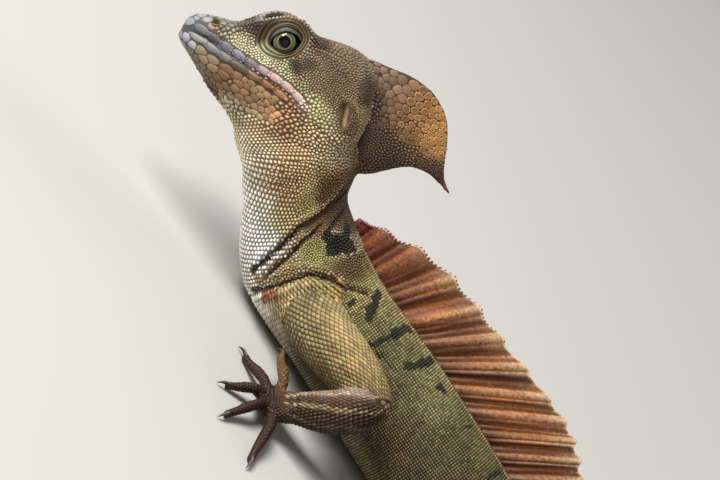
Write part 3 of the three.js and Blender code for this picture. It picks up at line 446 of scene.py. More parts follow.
places = places_of(skin)
near_head = np.isin(skin_part, PARTS_ON_HEAD + TRUNK_PARTS[:1])
near_trunk = np.isin(skin_part, TRUNK_PARTS)
trunk_folds = [(on_trunk(line)[:, :2], half, deep) for line, half, deep in NECK_FOLDS]
depth = np.zeros(count)
depth[near_head] = fold_depth(in_half_head(places[near_head]), HEAD_FOLDS)
depth[near_trunk] += fold_depth(on_trunk(places[near_trunk])[:, :2], trunk_folds)
move_to(skin, places - normals_of(skin) * depth[:, None])

thin = skin.modifiers.new("thin", "DECIMATE")
thin.ratio = min(1, SKIN_TRIANGLES / (2 * len(skin.data.polygons)))
finish_modifiers(skin)
bpy.ops.object.shade_smooth()
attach(skin, "root")
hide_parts(*FLESH)


def paint(piece, tone):
    layer = piece.data.color_attributes.new("tone", "FLOAT_COLOR", "POINT")
    layer.data.foreach_set("color", np.column_stack((tone, np.ones(len(tone)))).astype(np.float32).ravel())


def between(a, b, share):
    share = np.asarray(share).reshape(-1, 1)
    return np.asarray(a) * (1 - share) + np.asarray(b) * share


def tint(red, green, blue):
    return (np.array((red, green, blue)) / 255) ** 2.2


# Colours of the skin
# Grey-lilac snout, orange-brown jaws, brown casque, cream throat, olive flanks with black marks, golden
# upper arms, purple-brown forearms and fingers. A patch is a place, its reach, its colour and the size of
# its scales; a line, for a fold or a black bar, is a colour, its run and half its width.
HEAD_PATCHES = [
    ((33, 3, 3.5), 4.5, (150, 153, 160), 2.2, 1.2),
    ((26, 5.4, 5.6), 2.4, (160, 146, 118), 0.8, 1.0),
    ((27.9, 3.6, 6.4), 1.6, (150, 108, 66), 0.9, 1.0),
    ((20.5, 6.6, 5.8), 2.9, (208, 200, 162), 0.6, 1.0),
    ((14, 8.9, 5.6), 2.6, (222, 214, 176), 0.6, 1.0),
    ((8, 10.8, 4.6), 2.3, (206, 198, 160), 0.7, 1.0),
    ((2.6, 11.9, 4.3), 1.9, (186, 174, 132), 0.7, 1.0),
    ((-2, 12.4, 1.6), 2.8, (200, 188, 142), 0.85, 1.1),
    ((-7.6, 12.9, 0.2), 2.6, (196, 186, 140), 0.8, 1.1),
    ((27, 4.8, -3.4), 2.6, (150, 134, 104), 1.9, 1.6),
    ((19, 6.6, -4.4), 3.4, (122, 90, 60), 1.85, 1.7),
    ((13, 8.4, -5.6), 3.4, (120, 90, 56), 1.45, 1.7),
    ((7, 10.0, -4.6), 3.4, (142, 106, 76), 1.2, 1.5),
    ((1, 11.8, -3.4), 2.8, (190, 152, 112), 1.0, 1.3),
    # The next two are dark red-brown under the chin near its middle: its own colour, deepened as painted
    # shade.
    ((20, 1.2, -9.4), 3.2, (84, 54, 34), 1.1, 1.2),
    ((28, 1.2, -5.4), 2.8, (94, 64, 44), 1.2, 1.2),
    ((27, 2, 9.5), 4.4, (120, 116, 108), 1.4, 1.0),
    ((21.6, 5.4, 10.0), 2.3, (84, 68, 48), 0.8, 1.0),
    ((12, 9.4, 17.8), 2.4, (138, 112, 74), 0.8, 1.0),
    ((13, 3, 16), 5.0, (150, 144, 124), 1.2, 1.0),
    # The next three are painted shadow: under the front corner of the brow, and a streak below and behind the
    # eye.
    ((19, 7.6, 10.4), 2.2, (60, 46, 32), 0.7, 1.0),
    ((6.2, 11, 7.2), 1.6, (50, 38, 28), 0.55, 1.0),
    ((3.2, 11.3, 9.4), 1.6, (56, 42, 30), 0.55, 1.0),
    ((1.0, 11.6, 7.6), 3.4, (134, 112, 86), 0.6, 1.0),
    ((-4, 12.4, 9.0), 4.4, (114, 93, 66), 0.6, 1.0),
    ((2.5, 8.6, 17), 2.6, (74, 56, 38), 0.7, 1.0),
    # Painted shade at the back of the head where the crest begins.
    ((-14.5, 9, 12), 2.8, (84, 68, 50), 0.7, 1.0),
    ((-6, 8.6, 16.6), 3.4, (122, 104, 80), 0.72, 1.0),
    ((-4, 4, 18.5), 4.6, (120, 102, 80), 1.0, 1.0),
    ((-11, 12.6, 3.2), 3.2, (122, 98, 70), 0.55, 1.0),
    ((-14.4, 11.0, 5.0), 1.8, (176, 152, 104), 0.6, 1.0),
    ((-3.6, 12.6, -2.6), 2.8, (192, 166, 122), 0.85, 1.15),
    ((2, 11.6, -7.0), 4.0, (190, 144, 98), 0.95, 1.35),
    ((-9, 12, -6.4), 3.8, (222, 196, 150), 0.85, 1.2),
    ((-15, 9.8, -9), 3.4, (222, 212, 176), 0.85, 1.0),
    ((14, 4, -10.4), 4.4, (200, 192, 154), 0.95, 1.3),
    ((5, 7, -12.5), 4.8, (226, 202, 160), 0.95, 1.35),
    ((5, 2, -17.8), 5.0, (246, 238, 208), 0.98, 1.35),
    ((-4, 5, -19), 6.0, (244, 234, 204), 0.98, 1.35),
    ((-5, 10.5, -12.5), 4.8, (228, 190, 140), 0.82, 1.25),
    ((-12, 8.5, -14), 4.8, (222, 190, 134), 0.78, 1.2),
]
CREST_PATCHES = [
    ((-16, 2.1, 17.5), 4.0, (112, 92, 74), 1.7, 1.0),
    # Painted shade on the crest where it meets the back of the head.
    ((-16.5, 3, 12.5), 3.0, (72, 58, 42), 0.9, 1.0),
    ((-22, 2.1, 16.0), 4.5, (128, 102, 80), 2.1, 1.1),
    ((-27, 2, 17.5), 4.5, (150, 112, 78), 2.3, 1.1),
    ((-31, 1.4, 17.5), 3.0, (166, 118, 76), 1.6, 1.1),
    ((-33, 1, 14.0), 4.0, (190, 140, 84), 1.1, 1.5),
    ((-37, 0.5, 9.5), 4.0, (196, 144, 86), 1.0, 1.7),
    ((-29, 2, 9.5), 4.0, (160, 118, 76), 1.2, 1.3),
    ((-24, 2.4, 11.0), 3.4, (128, 98, 70), 1.9, 1.1),
    # The next two are painted shade too, where the crest meets the back of the head.
    ((-19, 4, 9.5), 4.2, (78, 62, 44), 0.8, 1.0),
    ((-20, 4, 1.5), 4.6, (84, 66, 50), 0.6, 1.0),
    ((-27, 2.4, 2.5), 5.0, (98, 78, 62), 0.65, 1.2),
    ((-34, 1.4, 4.0), 3.6, (124, 98, 74), 0.75, 1.2),
    ((-39, 0.8, 3.2), 2.6, (92, 68, 58), 0.6, 1.0),
    ((-43.5, 0.5, 1.6), 2.2, (84, 52, 50), 0.5, 1.0),
    ((-47.8, 0.4, 0.4), 2.4, (190, 84, 104), 0.5, 1.0),
]
TRUNK_PATCHES = [
    ((-25, -14, 24), 6.6, (255, 250, 226), 1.0, 1.4),
    ((-16.6, -12.1, 19.8), 7.0, (255, 250, 236), 1.05, 1.4),
    ((-5.3, -11.6, 13.1), 6.0, (255, 250, 248), 1.05, 1.4),
    ((-19, -16.5, 30), 5.6, (228, 190, 140), 0.9, 1.3),
    ((-13.5, -15.5, 30.4), 5.2, (216, 178, 126), 0.8, 1.2),
    ((-8, -15, 26), 4.6, (214, 190, 136), 0.8, 1.2),
    ((-7.4, -11.8, 32), 3.6, (196, 174, 116), 0.6, 1.0),
    ((-1.6, -10.3, 30.4), 2.6, (138, 108, 70), 0.5, 1.0),
    ((-2.0, -7.4, 36), 3.4, (112, 80, 48), 0.5, 1.0),
    ((4.2, -10.4, 25.8), 3.0, (156, 154, 92), 0.52, 1.0),
    ((8.4, -8.8, 27.6), 3.0, (140, 122, 78), 0.62, 1.0),
    ((-10, -9, 39), 5.0, (120, 88, 54), 0.7, 1.0),
    ((-2, -1, 38), 5.0, (86, 58, 34), 0.6, 1.0),
    ((1.2, -9.9, 7), 4.6, (250, 244, 226), 0.9, 1.25),
    ((3.6, -12.6, 17), 3.0, (176, 148, 102), 0.7, 1.0),
    ((9, -12, 14), 4.6, (180, 160, 116), 0.8, 1.0),
    ((12.7, -7.2, 30), 5.0, (96, 76, 46), 0.7, 1.0),
    ((14.6, -12, 23.6), 5.0, (148, 130, 78), 0.75, 1.0),
    ((19.5, -8, 29.4), 4.0, (150, 140, 90), 0.75, 1.0),
    ((29, -4, 32), 6.0, (140, 132, 84), 0.75, 1.0),
    ((36, -11, 28), 6.0, (118, 112, 70), 0.75, 1.0),
    ((50.3, -11, 27.4), 9.0, (132, 128, 84), 0.75, 1.0),
    ((53.7, -15.4, 19.9), 7.0, (84, 62, 32), 0.75, 1.0),
    ((44, -14, 24), 5.0, (98, 80, 46), 0.75, 1.0),
    ((30, -15, 12), 8.0, (86, 66, 35), 0.8, 1.0),
    ((66.7, -10.1, 28.5), 10.0, (98, 92, 56), 0.75, 1.0),
    ((40, 0, 0.5), 13.0, (170, 156, 120), 1.1, 1.0),
    ((80, 0, 0.5), 15.0, (170, 156, 120), 1.1, 1.0),
    ((75, -16, 16), 11.0, (90, 76, 44), 0.8, 1.0),
    ((95, -9, 25), 13.0, (108, 98, 62), 0.8, 1.0),
    ((122, -8, 19), 12.0, (112, 98, 62), 0.85, 1.0),
    ((120, 0, 4), 10.0, (158, 142, 106), 1.1, 1.0),
    ((140, -6, 18), 10.0, (116, 100, 66), 1.0, 1.0),
]
TRUNK_LINES = [
    # The first eight follow the neck's folds: pale lines along the ridges, and dark lines in the creases that
    # are painted shade.
    ((172, 142, 92), FIRST_RIDGE[:5], 0.45),
    ((44, 28, 18), [(-5.2, -6.6, 40.8), (-4.1, -8.6, 36.3), (-3.6, -11.0, 31.1), (-3.7, -12.5, 26.5),
                    (-2.7, -12.9, 20.7), (-1.7, -12.4, 14.4), (-0.8, -10.3, 8.4)], 0.5),
    ((150, 118, 74), SECOND_RIDGE, 0.4),
    ((52, 34, 22), [(-1.0, -9.3, 31.3), (-0.1, -11.2, 26.5), (0.8, -12.5, 20.7), (1.5, -12.8, 15.0),
                    (2.2, -12.1, 10.9)], 0.4),
    ((48, 32, 22), [(-4.6, -3, 39.8), (-2.9, -6.6, 37)], 0.45),
    ((48, 32, 22), [(-1.2, -1, 36.9), (0.9, -5.6, 33.9), (1.8, -8.2, 31)], 0.5),
    ((176, 146, 104), [(1.6, -10.4, 8.6), (3.4, -12.9, 13.7), (4.7, -13.0, 18.7), (6.2, -12.0, 22.6),
                       (10.2, -10.8, 26.2), (14.8, -9.4, 28.2)], 0.6),
    ((70, 34, 22), ARM_FOLD, 0.55),
    ((150, 92, 56), [(5.4, -11.2, 8), (6.8, -12.6, 12)], 1.0),
    ((20, 14, 9), [(2.6, -7.6, 30.4), (4.8, -6.6, 31.2), (7.0, -6.0, 31.4), (8.4, -3.8, 32.6)], 2.1),
    ((20, 14, 9), [(6.4, -7.9, 29.3), (5.2, -5.0, 32.2), (4.2, -2.4, 34.2)], 1.8),
    ((14, 9, 6), [(21.6, -3.4, 32.0), (23.8, -6.8, 30.2), (25.6, -9.3, 27.8)], 1.2),
    ((14, 9, 6), [(34.2, -0.8, 32.8), (33.4, -2.6, 32.4), (33.0, -6.7, 30.5)], 1.25),
    ((18, 12, 8), [(33.0, -6.7, 30.5), (32.4, -10.0, 27.4), (31.4, -14.6, 25.8)], 0.75),
    ((14, 9, 6), [(44.1, 0.8, 33.2), (43.5, -3.5, 32.6), (43.2, -5.6, 31.4)], 1.1),
    ((16, 10, 7), [(42.6, -7.6, 30.4), (41.5, -8.9, 29.1)], 0.95),
    ((14, 9, 6), [(51.4, -4.4, 32.1), (51.0, -5.2, 31.8)], 1.0),
    ((30, 21, 14), [(50.2, -7.0, 30.8), (50.0, -7.4, 30.6)], 0.5),
    ((30, 21, 14), [(14.0, -15.0, 21.5), (14.6, -15.8, 21.5)], 0.7),
    ((24, 16, 10), [(19.9, -10.2, 26.9), (20.4, -10.8, 26.5)], 0.9),
    ((24, 16, 10), [(24.2, -15.6, 24.8), (23.6, -16.4, 24.0)], 0.9),
    ((28, 20, 13), [(64, -3.0, 32.6), (63.4, -5, 31.6)], 0.6),
    ((28, 20, 13), [(78, -3.0, 31.6), (77, -7, 29.6)], 0.7),
    ((28, 20, 13), [(92, -3.0, 30.6), (91, -8, 27)], 0.7),
]


# Tones and scale sizes flow from patch to patch by their distance.
def patched(points, patches, scale_sideways=1.0):
    tones, sizes = np.zeros((len(points), 3)), np.zeros((len(points), 2))
    total = np.full(len(points), 1e-12)
    for place, reach, colour, size, length in patches:
        away = (points - np.asarray(place)) * (1, scale_sideways, 1)[: points.shape[1]]
        away = (away**2).sum(1)
        share = np.exp(-1.6 * away / reach**2) + 0.002 * np.exp(-away / (16 * reach**2))
        tones += share[:, None] * tint(*colour)
        sizes += share[:, None] * (size, length)
        total += share
    return tones / total[:, None], sizes / total[:, None]


def cloudy(points, grain, seed):
    shift = Vector((seed * 7.3, seed * 3.1, seed * 5.7))
    return np.array([noise.noise(Vector(p) / grain + shift) for p in points], float)


trunk_patches = [(on_trunk([place])[0, :2], *rest) for place, *rest in TRUNK_PATCHES]
trunk_lines = [(colour, on_trunk(line)[:, :2], half) for colour, line, half in TRUNK_LINES]

# Middle lines of the legs' parts, each with half widths, and each digit from its knuckle to its tip.
LIMB_WAYS = {
    "left_upper_arm": [(15, -8, 15.5, 8), (22, -14.5, 16.8, 8), (32, -21.5, 20.2, 7.2), (40, -27, 22.4, 6),
                       (44.6, -30.4, 23.4, 4.9)],
    "left_forearm": [(45.0, -30.0, 23.6, 4.7), (42.4, -33.2, 19.6, 5.9), (38.4, -35.6, 13.6, 5.6),
                     (33.4, -37.1, 8.2, 4.5)],
    "left_hand": [(34.0, -36.4, 8.6, 4.3), (31.4, -37.4, 5.6, 4.5), (28.6, -38.6, 3.8, 4.5)],
    "right_upper_arm": [(15, 8, 15.5, 8), (22, 15, 16.2, 8), (30.4, 23, 19.2, 7.2), (36.6, 29, 21.6, 6),
                        (40.8, 32.6, 22.8, 5.2)],
    "right_forearm": [(40.4, 31.8, 23, 5), (36.4, 35.8, 19.2, 6), (29.6, 39.6, 13.2, 5.5),
                      (22.8, 42.8, 8, 4.1)],
    "right_hand": [(24.0, 42.4, 8.2, 3.8), (20.6, 43.8, 5.2, 4.2), (17.2, 45.2, 3.5, 4.2)],
    "left_thigh": [(121, -6, 15.5, 8.6), (113.5, -16, 18.4, 8.9), (103, -30, 23, 7.8), (95, -40, 25.8, 6.3),
                   (90.6, -45.4, 26.8, 5.4)],
    "left_shin": [(90.8, -43.6, 27, 5.4), (99, -49.4, 22.6, 6.3), (113, -57, 14.6, 4.9),
                  (127, -64.2, 7, 3.6)],
    "left_foot": [(127.6, -64.4, 6.6, 3.7), (125, -68.4, 4.2, 3.8), (119, -72.4, 3.4, 3.8),
                  (113.6, -75.4, 2.8, 3.8)],
    "right_thigh": [(121, 6, 15.5, 8.6), (114.5, 16.5, 18, 8.9), (106, 30.5, 22, 7.8), (99, 41, 24.4, 6.3),
                    (95, 46.6, 25.2, 5.4)],
    "right_shin": [(95.2, 44.8, 25.4, 5.4), (104, 50, 21.4, 6.3), (119, 55.6, 13.8, 4.9),
                   (134, 60.8, 6.8, 3.6)],
    "right_foot": [(134.4, 61, 6.4, 3.7), (131.4, 64.6, 4.2, 3.8), (125, 68, 3.4, 3.8),
                   (119.4, 70.4, 2.8, 3.8)],
}
DIGITS = {
    "left_hand": [
        ((28.6, -34.4), (20.8, -21.6)), ((26.4, -35.8), (15.8, -28.8)), ((25.6, -39.2), (19.0, -48.4)),
        ((28.0, -41.6), (24.4, -59.2)), ((31.6, -41.6), (36.6, -62.4)),
    ],
    "right_hand": [
        ((18.4, 41.0), (13.6, 31.2)), ((15.4, 42.4), (3.0, 37.0)), ((14.2, 45.4), (-2.4, 47.6)),
        ((15.2, 48.2), (1.4, 59.8)), ((18.6, 49.0), (17.4, 67.2)),
    ],
    "left_foot": [
        ((115.4, -71.4), (104.6, -61.4)), ((111.8, -72.6), (91.6, -65.8)), ((110.4, -75.2), (80.6, -76.6)),
        ((110.8, -77.8), (75.6, -92.4)), ((118.6, -75.6), (119.6, -97.0)),
    ],
    "right_foot": [
        ((121.6, 66.6), (111.6, 56.0)), ((117.8, 67.4), (98.4, 59.4)), ((116.2, 70.0), (86.4, 69.6)),
        ((116.4, 72.8), (80.8, 84.6)), ((124.0, 71.4), (124.4, 92.6)),
    ],
}
RAISED = 5.6  # the tip of the left hand's inner digit stands clear of the floor
EACH_DIGIT = [
    (node, number, knuckle, (*tip, RAISED if (node, number) == ("left_hand", 0) else 0))
    for node, digits in DIGITS.items() for number, (knuckle, tip) in enumerate(digits)
]
LIMB_COLOURS = {
    "upper_arm": ((150, 134, 92), (150, 126, 82)),
    "forearm": ((74, 54, 33), (74, 50, 34)),
    "hand": ((86, 60, 38), (54, 30, 18)),
    "thigh": ((120, 104, 66), (124, 104, 66)),
    "shin": ((112, 92, 60), (98, 74, 54)),
    "foot": ((96, 70, 50), (72, 48, 36)),
}


def on_limb(points, name):
    gone, way = even_way(LIMB_WAYS[name], 0.5)
    row = nearest_row(points, way[:, :3])
    ahead = unit(np.gradient(way[:, :3], axis=0))
    side = unit(np.cross((0, 0, 1), ahead))
    over = np.cross(ahead, side)
    away = points - way[row, :3]
    turn = np.arctan2((away * side[row]).sum(1), (away * over[row]).sum(1))
    return gone[row] / gone[-1], turn


PALE_STRIPE = [
    (4.6, 10.2, 14.0), (1.3, 9.4, 14.8), (-1.6, 9.0, 15.0), (-4.3, 8.8, 15.1), (-6.9, 9.2, 14.3),
    (-9.4, 9.6, 12.9),
]
# The slit of the mouth, and the colours of the lips above and below it by their distance forward.
LIP_LINE = [
    (34.2, 1.6, 1.4), (32, 3.2, 2.6), (30.4, 4.0, 2.3), (26.7, 5.2, 1.95), (23, 6.2, 1.7), (19, 7.4, 1.4),
    (15, 8.6, 1.2), (11.6, 9.6, 1.3), (8.2, 10.4, 1.2), (3.8, 11.6, 0.6), (-1.2, 12.4, -1.0),
    (-2.6, 12.6, -1.8),
]
UPPER_LIP = [
    (-4, 214, 188, 160), (4, 226, 200, 180), (8, 206, 178, 168), (13, 170, 150, 150), (17, 138, 130, 136),
    (22, 132, 128, 138), (28, 108, 106, 110), (33, 144, 146, 152),
]
LOWER_LIP = [
    (-4, 190, 150, 116), (5, 150, 108, 78), (11, 124, 86, 56), (16, 98, 72, 50), (20, 100, 88, 78),
    (25, 114, 114, 114), (29, 126, 126, 120), (33, 150, 152, 160),
]
LIPS = ((UPPER_LIP, 0.0, 2.3), (LOWER_LIP, -2.1, 0.0))
LIPS_REACH = (-2.5, 34)
# Two stripes along the foot of the sail, behind the arm: how far from the middle of the back, how wide
# to each side, and their colour.
SPINE_STRIPES = [(1.15, 0.45, (168, 148, 106)), (0.3, 0.5, (74, 36, 24))]
SPINE_FROM = 41
EAR_FORWARD, EAR_UP = -10.6, 3.4
EAR_SLANT = math.radians(24)
EAR_HALVES = (3.7, 1.75)
SCALE_SIZE = {"upper_arm": 1.2, "thigh": 1.2, "forearm": 1.05, "shin": 1.05, "hand": 0.85, "foot": 0.85}


# Along the slit of the ear and across it.
def in_ear(points):
    rise, ahead = points[:, 2] - EAR_UP, points[:, 0] - EAR_FORWARD
    along = rise * math.cos(EAR_SLANT) + ahead * math.sin(EAR_SLANT)
    return along, ahead * math.cos(EAR_SLANT) - rise * math.sin(EAR_SLANT)


def ear_oval(points):
    along, across = in_ear(points)
    return np.hypot(along / EAR_HALVES[0], across / EAR_HALVES[1])


def trunk_tone(points):
    chart = on_trunk(points)[:, :2]
    tone, size = patched(chart, trunk_patches)
    ragged = 1 + 0.5 * cloudy(points, 1.7, 4)
    for colour, line, half in trunk_lines:
        away, _ = from_line(chart, line)
        tone = between(tone, tint(*colour), 0.94 * np.clip((half * ragged - away) / 0.3 + 0.5, 0, 1))
    for middle, half, colour in SPINE_STRIPES:
        stripe = (chart[:, 0] > SPINE_FROM) * np.exp(-(((chart[:, 1] - middle) / half) ** 2))
        tone = between(tone, tint(*colour), 0.9 * stripe)
    return tone, size


def head_tone(points, crest):
    inside = in_half_head(points)
    f, _, u = inside.T
    tone, size = patched(inside, HEAD_PATCHES, 0.6)
    slit = np.array(LIP_LINE[::-1])
    above_slit = u - np.interp(f, slit[:, 0], slit[:, 2])
    on_lips = (f > LIPS_REACH[0]) & (f < LIPS_REACH[1])
    for colours, low, high in LIPS:
        on_lip = on_lips * np.clip((above_slit - low) / 0.15, 0, 1)
        on_lip = on_lip * np.clip((high - above_slit) / 0.25, 0, 1)
        tone = between(tone, (read_table(colours, f) / 255).clip(0, 1) ** 2.2, on_lip)
    ear = ear_oval(inside)
    stripes = (0.5 + 0.5 * np.cos(in_ear(inside)[1] * 3.3 + 0.7 + 0.25 * u)) ** 1.4
    stripes = stripes * np.clip((1 - ear) * 2.4, 0, 1)
    ear_tone = between(tint(70, 52, 38), tint(196, 160, 120), stripes)
    tone = between(tone, ear_tone, np.clip((1.0 - ear) * 4, 0, 1))
    away, _ = from_line(inside, PALE_STRIPE)
    broken = 0.75 + 0.5 * cloudy(points, 2.6, 6)
    tone = between(tone, tint(138, 113, 76), np.clip((0.7 * broken - away) / 0.3 + 0.5, 0, 0.85))
    tone[crest], size[crest] = patched(inside[crest], CREST_PATCHES, 0.3)
    return tone, size


def limb_tone(points, name):
    t, turn = on_limb(points, name)
    kind = name.split("_", 1)[1]
    near, far = LIMB_COLOURS[kind]
    tone = between(tint(*near), tint(*far), t)
    # shade is 0 on top of the limb and 1 underneath: with it, light and shade are painted round the limb.
    shade = 0.5 - 0.5 * np.cos(turn)
    # The upper arm is brightest mid-way along its top: its own gold, fading towards its ends, with painted
    # shade underneath.
    if kind == "upper_arm":
        gold_and_light = np.clip(np.sin(np.pi * t) * (1.1 - shade), 0, 1)[:, None]
        tone = tone * (0.6 + 0.52 * gold_and_light)
    # Forearm and shin: pale lines that fade underneath, a paler grey band along the top as a painted
    # highlight, and painted shade underneath.
    if kind in ("forearm", "shin"):
        lines = np.clip(np.cos(turn * 7 + 0.6 + cloudy(points, 4, 8)) * 2.6 - 1.5, 0, 1)
        tone = between(tone, tint(196, 174, 134), lines * (0.5 - 0.3 * shade))
        tone = between(tone, tint(156, 138, 120), np.clip(np.cos(turn + 0.5) * 3 - 2.1, 0, 1) * 0.75)
        tone = tone * (1.12 - 0.72 * shade[:, None])
    if name in DIGITS:
        inner, *others = (from_line(points[:, :2], digit)[0] for digit in DIGITS[name])
        golden = np.clip((np.min(others, axis=0) - inner) / 0.8, 0, 1) * np.clip(2.6 - inner, 0, 1)
        tone = between(tone, tint(98, 71, 40), golden)
    if kind in ("thigh", "shin", "foot"):
        band = np.clip(np.sin(t * 19 + cloudy(points, 5, 9) * 2) * 2 - 0.9, 0, 1)[:, None]
        tone = tone * (1 - 0.35 * band)
    return tone, (SCALE_SIZE[kind], 1.2)


def tail_tone(points):
    x = points[:, 0]
    band = np.clip(np.sin(x / 4.4 + cloudy(points, 9, 3) * 1.5) * 1.8 - 0.5, 0, 1)[:, None]
    tone = between(tint(128, 112, 78), tint(112, 90, 62), np.clip((x - 140) / 440, 0, 1))
    tone = between(tone, tint(160, 144, 110), np.clip(1 - points[:, 2] / 5, 0, 1) * 0.5)
    size = np.interp(x, (140, 300, 600), (1.2, 1.0, 0.5))
    return tone * (1 - 0.42 * band), np.column_stack((size, np.full(len(x), 1.2)))


# The tone of the skin at each point, with the size of its scales and how long they are for their width.
def skin_tone(points, parts):
    points = np.asarray(points, float)
    tones = np.zeros((len(points), 3)) + tint(122, 106, 72)
    sizes = np.ones((len(points), 2))
    trunk = np.isin(parts, TRUNK_PARTS + PARTS_ON_HEAD[:1])
    tones[trunk], sizes[trunk] = trunk_tone(points[trunk])
    share = head_share(points, parts)
    on = np.flatnonzero(share > 0)
    tone, size = head_tone(points[on], parts[on] == PARTS_ON_HEAD[1])
    tones[on] = between(tones[on], tone, share[on])
    sizes[on] = between(sizes[on], size, share[on])
    for number, name in enumerate(FLESH):
        here = np.flatnonzero(parts == number)
        if len(here) and name in LIMB_WAYS:
            tones[here], sizes[here] = limb_tone(points[here], name)
        if len(here) and number in TAIL_PARTS:
            tones[here], sizes[here] = tail_tone(points[here])
    cloud = 1 + 0.2 * cloudy(points, 7, 1) + 0.14 * cloudy(points, 2.2, 2)
    return tones * cloud[:, None], sizes


# The skin between the scales is darkened to about a quarter of its tone, painted shade in the gaps, and
# less in the ears. It is bare in the ears and along the crest's rim.
TAIL_PARTS = [number for number, name in enumerate(FLESH) if name.startswith("tail")]
RIM_FACING, RIM_FROM = 0.62, -16
skin_places = places_of(skin)
skin_part = parts_at(skin_places)
skin_tones, skin_sizes = skin_tone(skin_places, skin_part)
inside = in_half_head(skin_places)
sideways = np.abs(normals_of(skin) @ HEAD_AXES[1])
crest_rim = (skin_part == PARTS_ON_HEAD[1]) & (sideways < RIM_FACING) & (inside[:, 0] < RIM_FROM)
shown = np.where((skin_part == PARTS_ON_HEAD[0]) & (ear_oval(inside) < 1.05), 0.8, 0.24)
shown[crest_rim] = 1
skin_tones[crest_rim] = tint(120, 66, 38)
paint(skin, skin_tones * shown[:, None])


# A material that takes its colour from the painted tone.
def toned(name):
    material = bpy.data.materials.new(name)
    material.use_nodes = True
    tone = material.node_tree.nodes.new("ShaderNodeAttribute")
    tone.attribute_name = "tone"
    return material, material.node_tree.nodes["Principled BSDF"], tone.outputs["Color"]


# Dry skin: the painted tone with a little cloudiness, fine grain in the bump, and a faint sheen.
def dry_skin(name, roughness, grain, bump, sheen=0.0):
    material, shader, tone = toned(name)
    new, link = material.node_tree.nodes.new, material.node_tree.links.new
    place = new("ShaderNodeTexCoord").outputs["Object"]

    def speckle(scale, detail):
        cloud = new("ShaderNodeTexNoise")
        cloud.inputs["Scale"].default_value = scale
        cloud.inputs["Detail"].default_value = detail
        link(place, cloud.inputs["Vector"])
        return cloud.outputs["Fac"]

    def ranged(value, low, high):
        span = new("ShaderNodeMapRange")
        span.inputs["To Min"].default_value = low
        span.inputs["To Max"].default_value = high
        link(value, span.inputs["Value"])
        return span.outputs["Result"]

    cloud = speckle(grain, 4)
    weathered = new("ShaderNodeVectorMath")
    weathered.operation = "SCALE"
    link(tone, weathered.inputs[0])
    link(ranged(cloud, 0.72, 1.22), weathered.inputs["Scale"])
    link(weathered.outputs["Vector"], shader.inputs["Base Color"])
    link(ranged(cloud, roughness - 0.1, roughness + 0.12), shader.inputs["Roughness"])
    raised = new("ShaderNodeBump")
    raised.inputs["Strength"].default_value = bump
    raised.inputs["Distance"].default_value = 0.00015
    link(speckle(grain * 3, 3), raised.inputs["Height"])
    link(raised.outputs["Normal"], shader.inputs["Normal"])
    shader.inputs["Specular IOR Level"].default_value = 0.4
    shader.inputs["Sheen Weight"].default_value = sheen
    return material


skin.data.materials.append(dry_skin("body_hide", 0.55, 900, 0.3, 0.05))

# Scales
# Horny scales grown from the skin, each with its root in it. Trunk, legs and tail carry them in rows
# round the body; head, throat and head crest carry beads and plates fitted to each other.
scale_seed = np.random.default_rng(11)
skin_mesh = skin.data
skin_mesh.calc_loop_triangles()
corner = np.empty(len(skin_mesh.loop_triangles) * 3, np.int64)
skin_mesh.loop_triangles.foreach_get("vertices", corner)
corner = corner.reshape(-1, 3)
skin_tree = BVHTree.FromPolygons(skin_places.tolist(), corner.tolist())
skin_normals = normals_of(skin)


def smooth_normals(places, triangles):
    a, b, c = (skin_places[corner[triangles, k]] for k in range(3))
    v0, v1, v2 = b - a, c - a, places - a
    d00, d01, d11 = (v0 * v0).sum(1), (v0 * v1).sum(1), (v1 * v1).sum(1)
    d20, d21 = (v2 * v0).sum(1), (v2 * v1).sum(1)
    low = (d00 * d11 - d01 * d01).clip(1e-12)
    v, w = (d11 * d20 - d01 * d21) / low, (d00 * d21 - d01 * d20) / low
    shares = np.clip(np.column_stack((1 - v - w, v, w)), 0, 1)
    return unit((skin_normals[corner[triangles]] * shares[:, :, None]).sum(1))


def onto_skin(points):
    found = [skin_tree.find_nearest(Vector(p)) for p in points]
    places = np.array([hit[0] for hit in found])
    return places, smooth_normals(places, np.array([hit[2] for hit in found]))


# A coat of scales is a single mesh. Each scale has a middle point and rings round it: a ring's share of the
# scale's reach, of its height (-1: sunk in the skin) and of its tone. The middle's tone is raised as a
# painted highlight, and the sunk ring's tone and a plate's rim are lowered as painted shade between the
# scales; the net's darker middle and paler ring are its own pattern. Height, lean towards the tail and keel
# are in millimetres.
BEAD = [(0.66, 1.0, 1.0), (0.985, -1, 0.24)]
WIDE_BEAD = [(0.54, 1.0, 1.0), (0.9, -1, 0.05)]
SQUARE = [(0.56, 1.0, 1.0), (0.92, -1, 0.06)]
TILE = [(0.72, 1.0, 1.02), (0.97, -1, 0.1)]
PLATE = [(0.88, 1.0, 1.04), (0.96, 0.6, 0.86), (1.0, -1, 0.26)]
NET = [(0.62, 0.5, 0.7), (0.86, 1.2, 1.5), (0.99, -1, 0.9)]
SUNK = -0.14
ABOVE_FLOOR = 0.03
INSIDE_BOX = 0.0001  # metres that a coat keeps from the sides of the model's box


